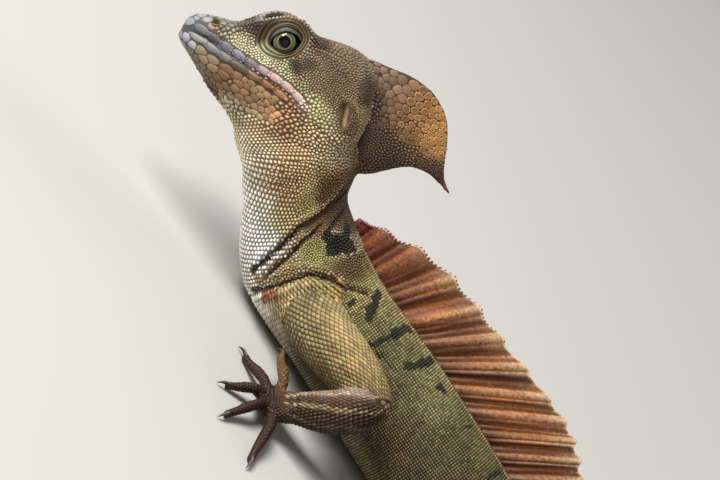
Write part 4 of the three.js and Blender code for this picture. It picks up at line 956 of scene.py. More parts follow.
def scale_coat(name, slot, material, middles, normals, lies, reach, tones, unwrapped, height, lean=0.0,
               keel=0.0, rings=TILE, length=1.0, crown=1.25, hugging=False):
    count, corners = reach.shape
    lies = unit(lies - normals * (lies * normals).sum(1)[:, None])
    sides = np.cross(normals, lies)
    turn = 2 * np.pi * np.arange(corners) / corners
    height, lean, keel, length = (np.broadcast_to(v, count)[:, None] for v in (height, lean, keel, length))
    spoke = np.cos(turn)[None, :, None] * (lies * length)[:, None]
    spoke = spoke + np.sin(turn)[None, :, None] * sides[:, None]
    on_keel = np.isin(np.arange(corners), (0, corners // 2)) * 1.0
    along = np.cos(turn)[None] * reach
    places = [(middles + normals * (height * 1.16 + keel * 1.1))[:, None]]
    for share, rise, _ in rings:
        flat = middles[:, None] + spoke * (reach * share)[..., None]
        out = np.broadcast_to(normals[:, None], flat.shape)
        if hugging:
            flat, out = (v.reshape(flat.shape) for v in onto_skin(flat.reshape(-1, 3)))
        if rise > 0:
            lift = height * rise + lean * along * share + keel * on_keel
        else:
            lift = SUNK + lean * along * 0.45
        places.append(flat + out * lift[..., None])
    places = np.concatenate(places, axis=1)
    places[..., 2] = np.maximum(places[..., 2], ABOVE_FLOOR)
    each = 1 + len(rings) * corners
    k = np.arange(corners)
    after = (k + 1) % corners
    faces = [np.column_stack((np.zeros(corners, int), 1 + k, 1 + after)).ravel()]
    for step in range(1, len(rings)):
        inner, outer = 1 + (step - 1) * corners, 1 + step * corners
        faces.append(np.column_stack((inner + k, outer + k, outer + after, inner + after)).ravel())
    loops = (np.arange(count)[:, None] * each + np.concatenate(faces)).ravel()
    totals = np.tile(np.r_[np.full(corners, 3), np.full(corners * (len(rings) - 1), 4)], count)
    mesh = bpy.data.meshes.new(name)
    mesh.vertices.add(count * each)
    lowest, highest = np.array(cad_box[0]) + INSIDE_BOX, np.array(cad_box[1]) - INSIDE_BOX
    mesh.vertices.foreach_set("co", np.clip(packed(places.reshape(-1, 3)), lowest, highest).ravel())
    mesh.loops.add(len(loops))
    mesh.loops.foreach_set("vertex_index", loops)
    mesh.polygons.add(len(totals))
    mesh.polygons.foreach_set("loop_start", np.r_[0, np.cumsum(totals)[:-1]])
    mesh.polygons.foreach_set("loop_total", totals)
    mesh.update(calc_edges=True)
    mesh.shade_smooth()
    circle = 0.0015 * np.column_stack((np.cos(turn), np.sin(turn)))
    patch = np.concatenate([np.zeros((1, 2))] + [circle * share for share, _, _ in rings])
    patch = patch + (0.002 + 0.996 * unwrapped)[:, None]
    mesh.uv_layers.new(name="OFBake").data.foreach_set("uv", patch.reshape(-1, 2)[loops].ravel())
    # The middle is painted lighter as a highlight, and the sunk ring darker as shade between the scales.
    shade = np.r_[crown, np.repeat([shade for _, _, shade in rings], corners)]
    coat = bpy.data.objects.new(name, mesh)
    bpy.context.scene.collection.objects.link(coat)
    paint(coat, (tones[:, None] * shade[None, :, None]).reshape(-1, 3))
    coat.data.materials.append(material)
    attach(coat, "root")


# Each scale's reach towards its corners is half way to its neighbours on the same side of the skin. The
# rows hold middle, normal, direction, size and length of every scale; the wanted ones are measured.
NEIGHBOURS = 14


def reach_of(rows, corners, wanted, widest):
    middles, normals, sizes = rows[:, :3], rows[:, 3:6], rows[:, 9]
    tree = tree_of(middles)
    close = np.array([[hit[1] for hit in tree.find_n(middles[k], NEIGHBOURS + 1)[1:]] for k in wanted])
    normal, lie, size = normals[wanted], rows[wanted, 6:9], sizes[wanted][:, None]
    lie = unit(lie - normal * (lie * normal).sum(1)[:, None])
    side = np.cross(normal, lie)
    away = middles[close] - middles[wanted][:, None]
    x = (away * lie[:, None]).sum(2) / rows[wanted, 10][:, None]
    y = (away * side[:, None]).sum(2)
    gap = x**2 + y**2 + (size**2 - sizes[close] ** 2) * 0.3
    turn = 2 * np.pi * np.arange(corners) / corners
    towards = x[..., None] * np.cos(turn) + y[..., None] * np.sin(turn)
    reach = np.where(towards > 1e-6, gap[..., None] / (2 * towards.clip(1e-6)), 1e9)
    other_side = (normals[close] * normal[:, None]).sum(2) < SAME_SIDE
    reach = np.where(other_side[..., None], 1e9, reach)
    return np.clip(reach.min(1), 0.14 * size, widest * size)


# Rows of scales round a part: a ray from its middle line finds the skin, and one that runs into
# another part of the body is left out.
def rows_round(way, step, around, parts, quincunx=True):
    gone, line = way
    at = np.arange(step / 2, gone[-1], step)
    line = np.column_stack([np.interp(at, gone, line[:, k]) for k in range(line.shape[1])])
    ahead = unit(np.gradient(line[:, :3], axis=0))
    if line.shape[1] > 6:
        over, expected = unit(line[:, 3:6]), line[:, 9:12]
        side = unit(np.cross(over, ahead))
        side *= np.sign((side * line[:, 6:9]).sum(1))[:, None]
    else:
        side = unit(np.cross((0, 0, 1), ahead))
        over = np.cross(ahead, side)
        expected = np.repeat(line[:, 3:4], 3, axis=1)
    places, triangles, lies, chart = [], [], [], []
    for row in range(len(at)):
        half = 0.5 * (row % 2) if quincunx else 0
        for column in range(around):
            turn = 2 * math.pi * (column + half) / around
            way_out = over[row] * math.cos(turn) + side[row] * math.sin(turn)
            rise, drop, wide = expected[row]
            tall = rise if math.cos(turn) > 0 else drop
            limit = 1.32 / math.hypot(math.cos(turn) / tall, math.sin(turn) / wide)
            hit, _, triangle, _ = skin_tree.ray_cast(Vector(line[row, :3]), Vector(way_out), limit)
            if hit is not None:
                places.append(hit)
                triangles.append(triangle)
                lies.append(ahead[row])
                chart.append((at[row] / gone[-1], (turn / (2 * math.pi)) % 1))
    places, triangles = np.array(places), np.array(triangles)
    keep = np.isin(skin_part[corner[triangles, 0]], parts)
    lies, chart = np.array(lies)[keep], np.array(chart)[keep]
    return places[keep], smooth_normals(places, triangles)[keep], lies, chart


def some_of(found, here):
    return tuple(values[here] for values in found)


def all_of(found):
    return tuple(np.concatenate(values) for values in zip(*found))


# How far apart neighbours in a row round a middle line stand.
def row_spacing(places, line, around):
    return np.linalg.norm(places - line[nearest_row(places, line[:, :3]), :3], axis=1) * 2 * np.pi / around


def jittered(tones, amount):
    glow = 1 + scale_seed.normal(0, amount, (len(tones), 1))
    return tones * glow.clip(0.5, 1.6) * (1 + scale_seed.normal(0, amount * 0.25, tones.shape))


# Rows of scales become a coat, cut along the body into pieces where it is large.
grown = []


def grow(name, slot, material, found, size, reach, chance, height, lean=0.0, keel=0.0, cuts=(), **look):
    places, normals, lies, chart = found
    tones, _ = skin_tone(places, parts_at(places))
    size = np.broadcast_to(size, len(places))
    grown.append(np.column_stack((places, normals, lies, size, np.ones(len(places)))))
    tones = jittered(tones, chance)
    widths = ((reach, np.shape(reach)[-1]), (height, 1), (keel, 1))
    reach, height, keel = (np.broadcast_to(values, (len(places), width)) for values, width in widths)
    ends = (0, *cuts, 1.01)
    for number, (low, high) in enumerate(zip(ends[:-1], ends[1:])):
        here = (chart[:, 0] >= low) & (chart[:, 0] < high)
        piece = f"{name}_{number + 1}" if cuts else name
        scale_coat(piece, slot, material, places[here], normals[here], lies[here], reach[here], tones[here],
                   chart[here], height[here, 0], lean, keel[here, 0], **look)


# A pointed scale like a roof slate: how far it reaches at each of eight turns from its rear tip.
def slate(step, wide):
    turn = np.arange(8) * np.pi / 4
    rear = np.where(np.cos(turn) > 0, 1.22, 0.95)[None] * step
    return 1.1 / (np.abs(np.cos(turn))[None] / rear + np.abs(np.sin(turn))[None] / (0.54 * wide))


# Flanks and back: fine square scales in straight rows, from the fold before the arm to the tail. Larger
# slates cover the shoulder.
TRUNK_AROUND, TRUNK_STEP = 140, 0.74
SHOULDER_AROUND, SHOULDER_STEP = 84, 1.2
COLLAR = on_trunk(ARM_FOLD[:6] + [(13.4, -6.4, 30.2), (12, -1, 33)])
horny_body = dry_skin("horny_body_scales", 0.5, 1400, 0.25)
horny_limb = dry_skin("horny_limb_scales", 0.46, 1200, 0.25)


def behind_collar(places):
    chart = on_trunk(places)
    order = np.argsort(COLLAR[:, 1])
    return chart[:, 0] - np.interp(chart[:, 1], COLLAR[order, 1], COLLAR[order, 0])


def on_shoulder(points):
    x, y, z = points.T
    return (x < 16.5 + 0.25 * (22 - z).clip(0)) & (z < 28) & (np.abs(y) > 5)


begin = int(np.searchsorted(trunk_at, COLLAR[:, 0].min()))
torso_way = (trunk_at[begin:] - trunk_at[begin], trunk_way[begin:])
found = rows_round(torso_way, TRUNK_STEP, TRUNK_AROUND, TRUNK_PARTS, quincunx=False)
found = some_of(found, (behind_collar(found[0]) > 0.4) & ~on_shoulder(found[0]))
places, normals, lies, chart = found
reach = 0.355 * (TRUNK_STEP + row_spacing(places, trunk_way, TRUNK_AROUND))
slanted = unit(lies + np.cross(normals, lies))
grow("flank_scales", "body_skin", horny_body, (places, normals, slanted, chart), 0.74,
     np.repeat(reach[:, None], 4, axis=1), 0.26, 0.22, cuts=(0.3, 0.6), rings=SQUARE, crown=1.5)

found = rows_round(torso_way, SHOULDER_STEP, SHOULDER_AROUND, TRUNK_PARTS)
found = some_of(found, (behind_collar(found[0]) > 0.5) & on_shoulder(found[0]))
wide = row_spacing(found[0], trunk_way, SHOULDER_AROUND)[:, None]
grow("shoulder_scales", "body_skin", horny_limb, found, 1.1, slate(SHOULDER_STEP, wide), 0.18, 0.17, 0.24,
     0.05)

# Legs: larger overlapping scales with a keel, in rings that break joint like roof slates. A row of the
# table is a ring's step, its number of scales and their keel.
LIMB_ROWS = {
    "upper_arm": (1.2, 34, 0.2), "forearm": (1.0, 34, 0.16), "hand": (0.72, 34, 0.06),
    "thigh": (1.15, 42, 0.18), "shin": (1.05, 32, 0.16), "foot": (0.8, 28, 0.06),
}
LIMB_SLOT = {"upper_arm": "arm_skin", "hand": "digit_skin", "foot": "digit_skin"}
for name in LIMB_WAYS:
    kind = name.split("_", 1)[1]
    step, around, keel = LIMB_ROWS[kind]
    way = even_way(LIMB_WAYS[name], 0.5)
    found = rows_round(way, step, around, [FLESH.index(name)])
    wide = row_spacing(found[0], way[1], around)[:, None]
    grow(name + "_scales", LIMB_SLOT.get(kind, "limb_skin"), horny_limb, found, 0.5 * (step + wide[:, 0]),
         slate(step, wide), 0.2, 0.17, 0.28, keel * 0.5, crown=1.3)

# Fingers and toes: narrow rings of small smooth scales. Each runs from its knuckle to its tip.
KNUCKLE_HEIGHT = 3.4
ARCH = ((0, 0), (0.3, 1.2), (0.55, 0.8), (0.8, 0.2), (1, 0))
DIGIT_AROUND, DIGIT_STEP, DIGIT_HALF = 9, 0.85, 2.1
DIGIT_SCALE = (0.72, 0.62, 0.55, 0.5, 0.55, 0.62)
for node in DIGITS:
    found = []
    for owner, number, knuckle, tip in EACH_DIGIT:
        if owner == node:
            start = np.array((*knuckle, KNUCKLE_HEIGHT + 0.2 * tip[2]))
            end = np.array((*tip[:2], 1.1 + tip[2]))
            way = [(*(start + (end - start) * t + (0, 0, lift)), DIGIT_HALF) for t, lift in ARCH]
            rows = rows_round(even_way(way, 0.5), DIGIT_STEP, DIGIT_AROUND, [FLESH.index(node)])
            rows[3][:, 1] = (rows[3][:, 1] + number) / 5
            found.append(rows)
    grow(node + "_digit_scales", "digit_skin", horny_limb, all_of(found), DIGIT_STEP, DIGIT_SCALE, 0.2, 0.1,
         0.16, 0.02)

# Tail: keeled scales in rings, fewer round it and smaller towards the tip. A row of the first table is a
# place of the tail's middle line with its half width, one of the second a length of tail, its number of
# scales in a ring and the ring's step.
TAIL_WAY = [
    (139, 0, 13.6, 8.55), (159, 1.2, 12.8, 8.02), (178.9, 3.7, 10.9, 7.51), (198.4, 8.6, 8.5, 7.01),
    (217.5, 14.9, 7, 6.52), (235.9, 22.7, 6.5, 6.05), (254.3, 30.9, 6, 5.6), (273, 38.1, 5.5, 5.15),
    (291.9, 44.9, 5, 4.73), (311.3, 49.9, 4.5, 4.32), (331.2, 52.5, 4.1, 3.92), (351.3, 53.1, 3.7, 3.54),
    (371.2, 51, 3.3, 3.18), (390.7, 46, 2.9, 2.84), (409.6, 39.3, 2.5, 2.51), (428.1, 31.6, 2.2, 2.21),
    (446, 22.6, 1.9, 1.92), (464, 13.7, 1.6, 1.66), (482.6, 6.1, 1.3, 1.41), (501.5, -0.6, 1.1, 1.19),
    (521.1, -5, 0.9, 1), (541.1, -6.7, 0.7, 0.83), (561.1, -5.9, 0.5, 0.69), (580.7, -1.6, 0.4, 0.59),
    (600, 4, 0.3, 0.54),
]
TAIL_LENGTH = 480
TAIL_RINGS = [
    (0, 60, 44, 1.15), (60, 130, 38, 1.1), (130, 205, 32, 1.05), (205, 285, 25, 0.95), (285, 360, 18, 0.85),
    (360, TAIL_LENGTH, 11, 0.8),
]
horny_tail = dry_skin("horny_tail_scales", 0.48, 1200, 0.25)
tail_gone, tail_line = even_way(TAIL_WAY, 0.5)
found = []
for low, high, around, step in TAIL_RINGS:
    here = (tail_gone >= low) & (tail_gone < high)
    rows = rows_round((tail_gone[here] - low, tail_line[here]), step, around, TAIL_PARTS + TRUNK_PARTS)
    rows[3][:, 0] = (low + rows[3][:, 0] * (high - low)) / TAIL_LENGTH
    half = np.interp(rows[3][:, 0] * TAIL_LENGTH, tail_gone, tail_line[:, 3])
    found.append((*rows, np.column_stack((np.full(len(half), step), 2 * np.pi * half / around))))
*found, spans = all_of(found)
rise = spans.mean(1)
grow("tail_scales", "tail_skin", horny_tail, found, rise, slate(spans[:, :1], spans[:, 1:]), 0.18,
     0.11 * rise[:, None], 0.17, 0.09 * rise[:, None], cuts=(0.3,))

# Head, throat and crest: long plates along the lips and rows of beads on the throat are set first, then
# the rest is filled with beads and plates that crowd each other into place, and bare spots come last.
# A crease keeps scales from growing across it.
SAME_SIDE = 0.2  # two scales crowd each other when their normals agree at least this well
horny_head = dry_skin("horny_head_scales", 0.47, 1500, 0.22)
face_parts = skin_part[corner[:, 0]]
a, b, c = (skin_places[corner[:, k]] for k in range(3))
areas = np.linalg.norm(np.cross(b - a, c - a), axis=1) / 2
trunk_ahead = unit(np.gradient(trunk_way[:, :3], axis=0))


def lies_at(points, parts):
    share = head_share(points, parts)[:, None]
    return unit(trunk_ahead[nearest_row(points, trunk_way[:, :3])] * (1 - share) - HEAD_AXES[0] * share)


class Crowd:
    """Scale middles on the same side of the skin, kept apart by the mean of their sizes."""

    def __init__(self, cell):
        self.cell, self.grid = cell, {}

    def add(self, place, normal, size):
        x, y, z = place
        cell = (x // self.cell, y // self.cell, z // self.cell)
        self.grid.setdefault(cell, []).append((x, y, z, *normal, size))

    def fits(self, place, normal, lie, size, length, share):
        x, y, z = place
        nx, ny, nz = normal
        lx, ly, lz = lie
        squeeze = 1 - 1 / length**2
        i, j, k = x // self.cell, y // self.cell, z // self.cell
        for di in (-1, 0, 1):
            for dj in (-1, 0, 1):
                for dk in (-1, 0, 1):
                    for px, py, pz, mx, my, mz, other in self.grid.get((i + di, j + dj, k + dk), ()):
                        dx, dy, dz = px - x, py - y, pz - z
                        along = dx * lx + dy * ly + dz * lz
                        gap = dx * dx + dy * dy + dz * dz - along * along * squeeze
                        near = gap < (share * 0.5 * (size + other)) ** 2
                        if near and mx * nx + my * ny + mz * nz > SAME_SIDE:
                            return False
        return True

    def settle(self, row, share):
        if not self.fits(row[:3], row[3:6], row[6:9], row[9], row[10], share):
            return False
        self.add(row[:3], row[3:6], row[9])
        return True

    def add_all(self, batches):
        for batch in batches:
            for row in batch.tolist():
                self.add(row[:3], row[3:6], row[9])


CROWD_CELL = 2.4
crowd = Crowd(CROWD_CELL)
crowd.add_all(grown)
creases, fixed = [], []


def seed_rows(line, spacing, size, length, lift=0.0, share=0.62, crease=False):
    _, way = even_way([(f, l, u + lift, 0) for f, l, u in line], spacing)
    for side in (1, -1):
        places, normals = onto_skin(on_head(way[:, :3] * (1, side, 1)))
        lies = lies_at(places, parts_at(places))
        if not crease:
            ahead = unit(np.gradient(places, axis=0))
            lies = ahead * np.sign((ahead * lies).sum(1))[:, None]
        for place, normal, lie in zip(places.tolist(), normals.tolist(), lies.tolist()):
            row = (*place, *normal, *lie, size, length)
            if crease:
                crowd.add(place, normal, size)
                creases.append(row)
            elif crowd.settle(row, share):
                fixed.append(row)


# Creases along the mouth and round both lips, then the lips' plates, the brow's ridge and the pale stripe.
seed_rows(LIP_LINE, 0.35, 0.3, 1.0, crease=True)
seed_rows(LIP_LINE[1:-1], 0.4, 0.3, 1.0, 2.35, crease=True)
seed_rows(LIP_LINE[1:-2], 0.4, 0.3, 1.0, -2.15, crease=True)
seed_rows(LIP_LINE[2:-1], 3.7, 2.0, 1.8, 1.2, share=0.5)
seed_rows(LIP_LINE[2:-2], 4.2, 1.9, 2.0, -1.1, share=0.5)
seed_rows(HEAD_FOLDS[1][0][:-1], 0.9, 0.9, 1.2)
seed_rows(PALE_STRIPE, 0.8, 0.8, 1.0)
# Creases in the three dark folds of the neck.
FOLD_CREASE = 0.45
for fold in (1, 3, 7):
    _, way = even_way([(*p, 0) for p in TRUNK_LINES[fold][1]], 0.4)
    for side in (1, -1):
        places, normals = onto_skin(way[:, :3] * (1, side, 1))
        for place, normal in zip(places.tolist(), normals.tolist()):
            crowd.add(place, normal, FOLD_CREASE)
            creases.append((*place, *normal, *HEAD_AXES[0], FOLD_CREASE, 1.0))
# A crease along both edges of the crest's rim.
RIM_CREASE = 0.4
rim_crowd = Crowd(CROWD_CELL)
on_rim = (skin_part == PARTS_ON_HEAD[1]) & (sideways < 0.4) & (in_head(skin_places)[:, 0] < -15)
for place in skin_places[on_rim].tolist():
    if rim_crowd.fits(place, (0, 0, 1), (1, 0, 0), 0.5, 1.0, 1.0):
        rim_crowd.add(place, (0, 0, 1), 0.5)
        for side in (1, -1):
            crowd.add(place, side * HEAD_AXES[1], RIM_CREASE)
            creases.append((*place, *(side * HEAD_AXES[1]), *-HEAD_AXES[0], RIM_CREASE, 1.0))


# Lids, nostrils, ears and claws carry no scales.
LID_OUTER, LID_SHIFT = (7.2, 5.7), (0.6, 0.5)
LID_SLANT = math.radians(36)
BARE_NOSTRIL, BARE_REACH = (28.3, 2.9, 6.7), 1.5
slanting = (math.cos(LID_SLANT), 0, -math.sin(LID_SLANT))
lid_axis = unit(np.array((0.13, 0.96, 0.22)))
lid_front = unit(np.array(slanting) - lid_axis * (lid_axis @ slanting))
lid_over = np.cross(lid_front, lid_axis)
lid_over *= np.sign(lid_over[2])


def on_lids(points):
    away = in_half_head(points) - EYE_AT
    front, over = away @ lid_front - LID_SHIFT[0], away @ lid_over - LID_SHIFT[1]
    return (np.hypot(front / LID_OUTER[0], over / LID_OUTER[1]) < 0.97) & (away @ lid_axis > -2)


def on_nostril(points):
    return np.linalg.norm(in_half_head(points) - BARE_NOSTRIL, axis=1) < BARE_REACH


def on_ear(points):
    inside = in_half_head(points)
    return (ear_oval(inside) < 1.02) & (inside[:, 1] > 8)


def on_claws(points):
    near = np.zeros(len(points), bool)
    for _, _, knuckle, tip in EACH_DIGIT:
        ahead = unit(np.subtract(tip[:2], knuckle))
        away = points[:, :2] - tip[:2]
        beside = np.abs(away @ (ahead[1], -ahead[0])) < 1.8
        near |= (away @ ahead > -0.2) & (np.linalg.norm(away, axis=1) < 5.5) & beside
    return near & (points[:, 2] < 9)


# Scales are tried at chance places of some parts, large ones first, and kept where the crowd has room.
def scattered(parts, tries, share, shrink=1.0):
    allowed = np.isin(face_parts, parts)
    chance = areas * allowed / skin_sizes[corner[:, 0], 0] ** 2
    picked = scale_seed.choice(len(areas), tries, p=chance / chance.sum())
    r1, r2 = np.sqrt(scale_seed.random(tries))[:, None], scale_seed.random(tries)[:, None]
    points = a[picked] * (1 - r1) + b[picked] * r1 * (1 - r2) + c[picked] * r1 * r2
    normals = smooth_normals(points, picked)
    lies = lies_at(points, face_parts[picked])
    sizes = skin_sizes[corner[picked, 0]] * (shrink, 1)
    order = np.argsort(-sizes[:, 0] * (1 + 0.3 * scale_seed.random(tries)))
    on_face = face_parts[picked] == PARTS_ON_HEAD[0]
    bare = on_face & (on_ear(points) | on_lids(points) | on_nostril(points)) | on_claws(points)
    on_crest = (face_parts[picked] == PARTS_ON_HEAD[1]) & (in_head(points)[:, 0] < RIM_FROM)
    bare |= on_crest & (np.abs(normals @ HEAD_AXES[1]) < RIM_FACING)
    rows = np.column_stack((points, normals, lies, sizes))[order[~bare[order]]]
    return rows[[k for k, row in enumerate(rows.tolist()) if crowd.settle(row, share)]]


# Rows of beads round the throat and neck.
THROAT_AROUND, THROAT_STEP = 74, 1.06
HEAD_AND_NECK = PARTS_ON_HEAD + TRUNK_PARTS[:2]
until = int(np.searchsorted(trunk_at, COLLAR[:, 0].max()))
throat_way = (trunk_at[:until], trunk_way[:until])
found = rows_round(throat_way, THROAT_STEP, THROAT_AROUND, PARTS_ON_HEAD[:1] + TRUNK_PARTS[:2])
bead_parts = parts_at(found[0])
_, bead_sizes = skin_tone(found[0], bead_parts)
bead_lies = lies_at(found[0], bead_parts)
in_throat = (bead_sizes[:, 0] > 0.76) & (bead_sizes[:, 1] > 1.18) & ~on_ear(found[0]) & ~on_lids(found[0])
in_throat &= (in_head(found[0])[:, 2] < -9) | (bead_parts != PARTS_ON_HEAD[0])
in_throat &= behind_collar(found[0]) < -0.5
beads = np.column_stack((found[0], found[1], bead_lies, bead_sizes))[in_throat]
fixed += [row for row in beads.tolist() if crowd.settle(row, 0.66)]
loose = scattered(HEAD_AND_NECK, 190000, 0.88)
placed = np.concatenate((np.array(fixed), loose))
creases = np.array(creases)
# The loose ones push each other into even distances.
for _ in range(5):
    crowded = np.concatenate((placed, creases))
    places, sizes = crowded[:, :3], crowded[:, 9]
    tree = tree_of(places)
    moved = places[: len(placed)].copy()
    for k in range(len(fixed), len(placed)):
        push = np.zeros(3)
        for _, index, _ in tree.find_n(places[k], 8)[1:]:
            if crowded[index, 3:6] @ crowded[k, 3:6] < SAME_SIDE:
                continue
            away = places[k] - places[index]
            along = away @ crowded[k, 6:9]
            gap = math.sqrt(max(1e-6, away @ away - along**2 * (1 - 1 / crowded[k, 10] ** 2)))
            want = 0.5 * (sizes[k] + sizes[index]) * 1.08
            if gap < want:
                push += away / gap * (want - gap) * 0.3
        moved[k] += push
    placed[len(fixed):, :3], placed[len(fixed):, 3:6] = onto_skin(moved[len(fixed):])
# Small ones fill the bare spots, and patches close the gaps between the legs' and the body's coats.
crowd = Crowd(CROWD_CELL)
crowd.add_all(grown + [creases, placed])
for shrink in (0.9, 0.6):
    placed = np.concatenate((placed, scattered(HEAD_AND_NECK, 60000, 0.9, shrink)))
patches = scattered([k for k in range(len(FLESH)) if k not in HEAD_AND_NECK or k == TRUNK_PARTS[1]],
                    150000, 0.84)
parts = parts_at(placed[:, :3])
patch_parts = parts_at(patches[:, :3])
every = np.concatenate([placed, patches, creases] + grown)
every[:, 6:9] = unit(every[:, 6:9])
LONG, LONG_REACH = 1.75, 0.98


def fitted_coat(name, slot, material, here, corners, height, rings, crown, chart, widest=0.72, hugging=False):
    rows = every[here]
    tones, _ = skin_tone(rows[:, :3], parts_at(rows[:, :3]))
    reach = reach_of(every, corners, here, np.where(rows[:, 10] > LONG, LONG_REACH, widest)[:, None])
    rise = (height * rows[:, 9]).clip(0.06, 0.36)
    scale_coat(name, slot, material, rows[:, :3], rows[:, 3:6], rows[:, 6:9], reach, jittered(tones, 0.13),
               chart, rise, 0.05, 0.0, rings, rows[:, 10], crown, hugging)


def head_chart(points, crest):
    f, l, u = in_head(points).T
    chart = np.column_stack(((f + 75) / 112, np.arctan2(l, u - 2) / (2 * np.pi) + 0.5)).clip(0, 1)
    if crest:
        chart[:, 1] = np.where(l > 0, 0.25, 0.75) + (u + 10) / 32 * 0.24 - 0.12
    return chart


large = placed[:, 9] > 1.15
in_rows = ~large & (placed[:, 10] > 1.15)
f, _, u = in_head(placed[:, :3]).T
netted = (parts == PARTS_ON_HEAD[1]) & (f < -25) & (u > 5.5) & (placed[:, 9] > 0.8)
for name, slot, region, large_height, small_height in (
    ("head", "head_skin", parts == PARTS_ON_HEAD[0], 0.07, 0.26),
    ("crest", "crest_skin", parts == PARTS_ON_HEAD[1], 0.04, 0.14),
    ("neck", "body_skin", ~np.isin(parts, PARTS_ON_HEAD), 0.12, 0.34),
):
    for kind, some, corners, height, rings, crown in (
        ("plates", large & ~netted, 12, large_height, PLATE, 1.06),
        ("net", netted, 10, 0.09, NET, 0.66),
        ("rows", in_rows & ~netted, 8, small_height * 1.25, WIDE_BEAD, 1.5),
        ("beads", ~large & ~in_rows & ~netted, 8, small_height, BEAD, 1.25),
    ):
        here = np.flatnonzero(region & some)
        if len(here) > 8:
            widest = 0.8 if (name, kind) == ("head", "plates") else 0.72
            fitted_coat(f"{name}_{kind}", slot, horny_head, here, corners, height, rings, crown,
                        head_chart(placed[here, :3], name == "crest"), widest, kind == "plates")
x, y, z = patches[:, :3].T
chart = np.column_stack(((x + 60) / 670, np.arctan2(y, z - 14) / (2 * np.pi) + 0.5)).clip(0, 1)
on_body = np.isin(patch_parts, TRUNK_PARTS)
for name, slot, some in (
    ("hip_patch_scales", "body_skin", on_body),
    ("limb_patch_scales", "limb_skin", ~on_body),
):
    here = np.flatnonzero(some)
    fitted_coat(name, slot, horny_limb, here + len(placed), 7, 0.2, TILE, 1.2, chart[here])

# Lids
# Soft skin drawn over the ball from the almond opening out to the brow and cheek, in ringed folds whose
# creases and edges are darkened as painted shade, with a painted shadow at the front under the brow.
LID_OPENING = (4.15, 3.15)
LID_FOLDS = 3.6
BALL_COVER = 4.66
DROP = 14  # the folds are let down onto the skin from this height over the eye's middle
lid_hide = dry_skin("lid_hide", 0.5, 1600, 0.25)
for side, word in ((1, "left"), (-1, "right")):
    bpy.ops.mesh.primitive_grid_add(x_subdivisions=143, y_subdivisions=43, size=1)
    lids = bpy.context.object
    lids.name = word + "_lid_folds"
    flat = own_places(lids)
    turn, ring = (flat[:, 0] + 0.5) * 2 * np.pi, flat[:, 1] + 0.5
    inner_a = LID_OPENING[0] * np.cos(turn)
    inner_b = LID_OPENING[1] * np.sign(np.sin(turn)) * np.abs(np.sin(turn)) ** 1.3
    outer_a = LID_OUTER[0] * np.cos(turn) + LID_SHIFT[0]
    outer_b = LID_OUTER[1] * np.sin(turn) + LID_SHIFT[1]
    front = inner_a * (1 - ring) + outer_a * ring
    over = inner_b * (1 - ring) + outer_b * ring
    mirror = np.array((1, side, 1))
    axis, way_front, way_over = ((v * mirror) @ HEAD_AXES for v in (lid_axis, lid_front, lid_over))
    base = on_head(EYE_AT * mirror) + np.outer(front, way_front) + np.outer(over, way_over)
    on_ball = np.sqrt((BALL_COVER**2 - front**2 - over**2).clip(0))
    hits = [skin_tree.ray_cast(Vector(place + axis * DROP), Vector(-axis), 20) for place in base]
    raw = np.maximum([DROP - hit[3] if hit[0] is not None else 0 for hit in hits], on_ball)
    # The step between ball and skin is drawn smooth, and never cuts into either.
    order = np.lexsort((turn, np.round(ring, 6)))
    grid = raw[order].reshape(len(np.unique(np.round(ring, 6))), -1)
    held = grid.copy()
    for _ in range(60):
        wrapped = np.column_stack((grid[:, -2], grid, grid[:, 1]))
        smooth = grid.copy()
        smooth[1:-1] = 0.25 * (grid[2:] + grid[:-2] + wrapped[1:-1, 2:] + wrapped[1:-1, :-2])
        grid = np.maximum(smooth, np.minimum(held, smooth + 0.05))
        grid[0], grid[-1] = held[0], held[-1]
    high = np.empty(len(raw))
    high[order] = grid.ravel()
    bend = 0.9 * np.sin(turn * 2 + 1) + 0.4 * np.sin(turn * 5) + 0.8 * cloudy(base, 3, 21)
    wave = np.cos(2 * np.pi * LID_FOLDS * ring**0.85 + bend)
    hold = np.sin(np.pi * ring.clip(0, 1)) ** 0.4
    rim = np.exp(-((ring / 0.05) ** 2))
    wave *= 0.8 + 0.5 * cloudy(base, 2.2, 22)
    lift = 0.2 * wave * hold + 0.24 * rim + 0.08 - 0.5 * np.clip((ring - 0.94) / 0.06, 0, 1)
    move_to(lids, base + np.outer(high + lift, axis))
    up_there, in_front = np.clip(np.sin(turn) * 1.6 + 0.4, 0, 1), np.clip(np.cos(turn) * 1.5 + 0.1, 0, 1)
    fold_tone = between(tint(132, 110, 80), tint(176, 172, 130), in_front)
    fold_tone = between(fold_tone, tint(112, 92, 62), up_there)
    shadow = np.clip(in_front * up_there * 1.6 * np.clip(ring * 2.2 - 0.3, 0, 1), 0, 0.8)
    fold_tone = between(fold_tone, tint(58, 44, 32), shadow)
    # The creases of the folds and both edges of the sheet are darkened to a sixth of the tone: painted shade.
    tone = between(fold_tone * 0.16, fold_tone, np.clip(0.5 + 0.75 * wave, 0, 1) * np.clip(hold * 1.3, 0, 1))
    paint(lids, between(tone, tint(34, 26, 20), np.clip(1.6 - ring / 0.045, 0, 1)))
    weld(lids, 0.000002, outwards=True)
    bpy.ops.object.shade_smooth()
    if normals_of(lids).mean(0) @ axis < 0:
        lids.data.flip_normals()
    lids.data.materials.append(lid_hide)
    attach(lids, "root")
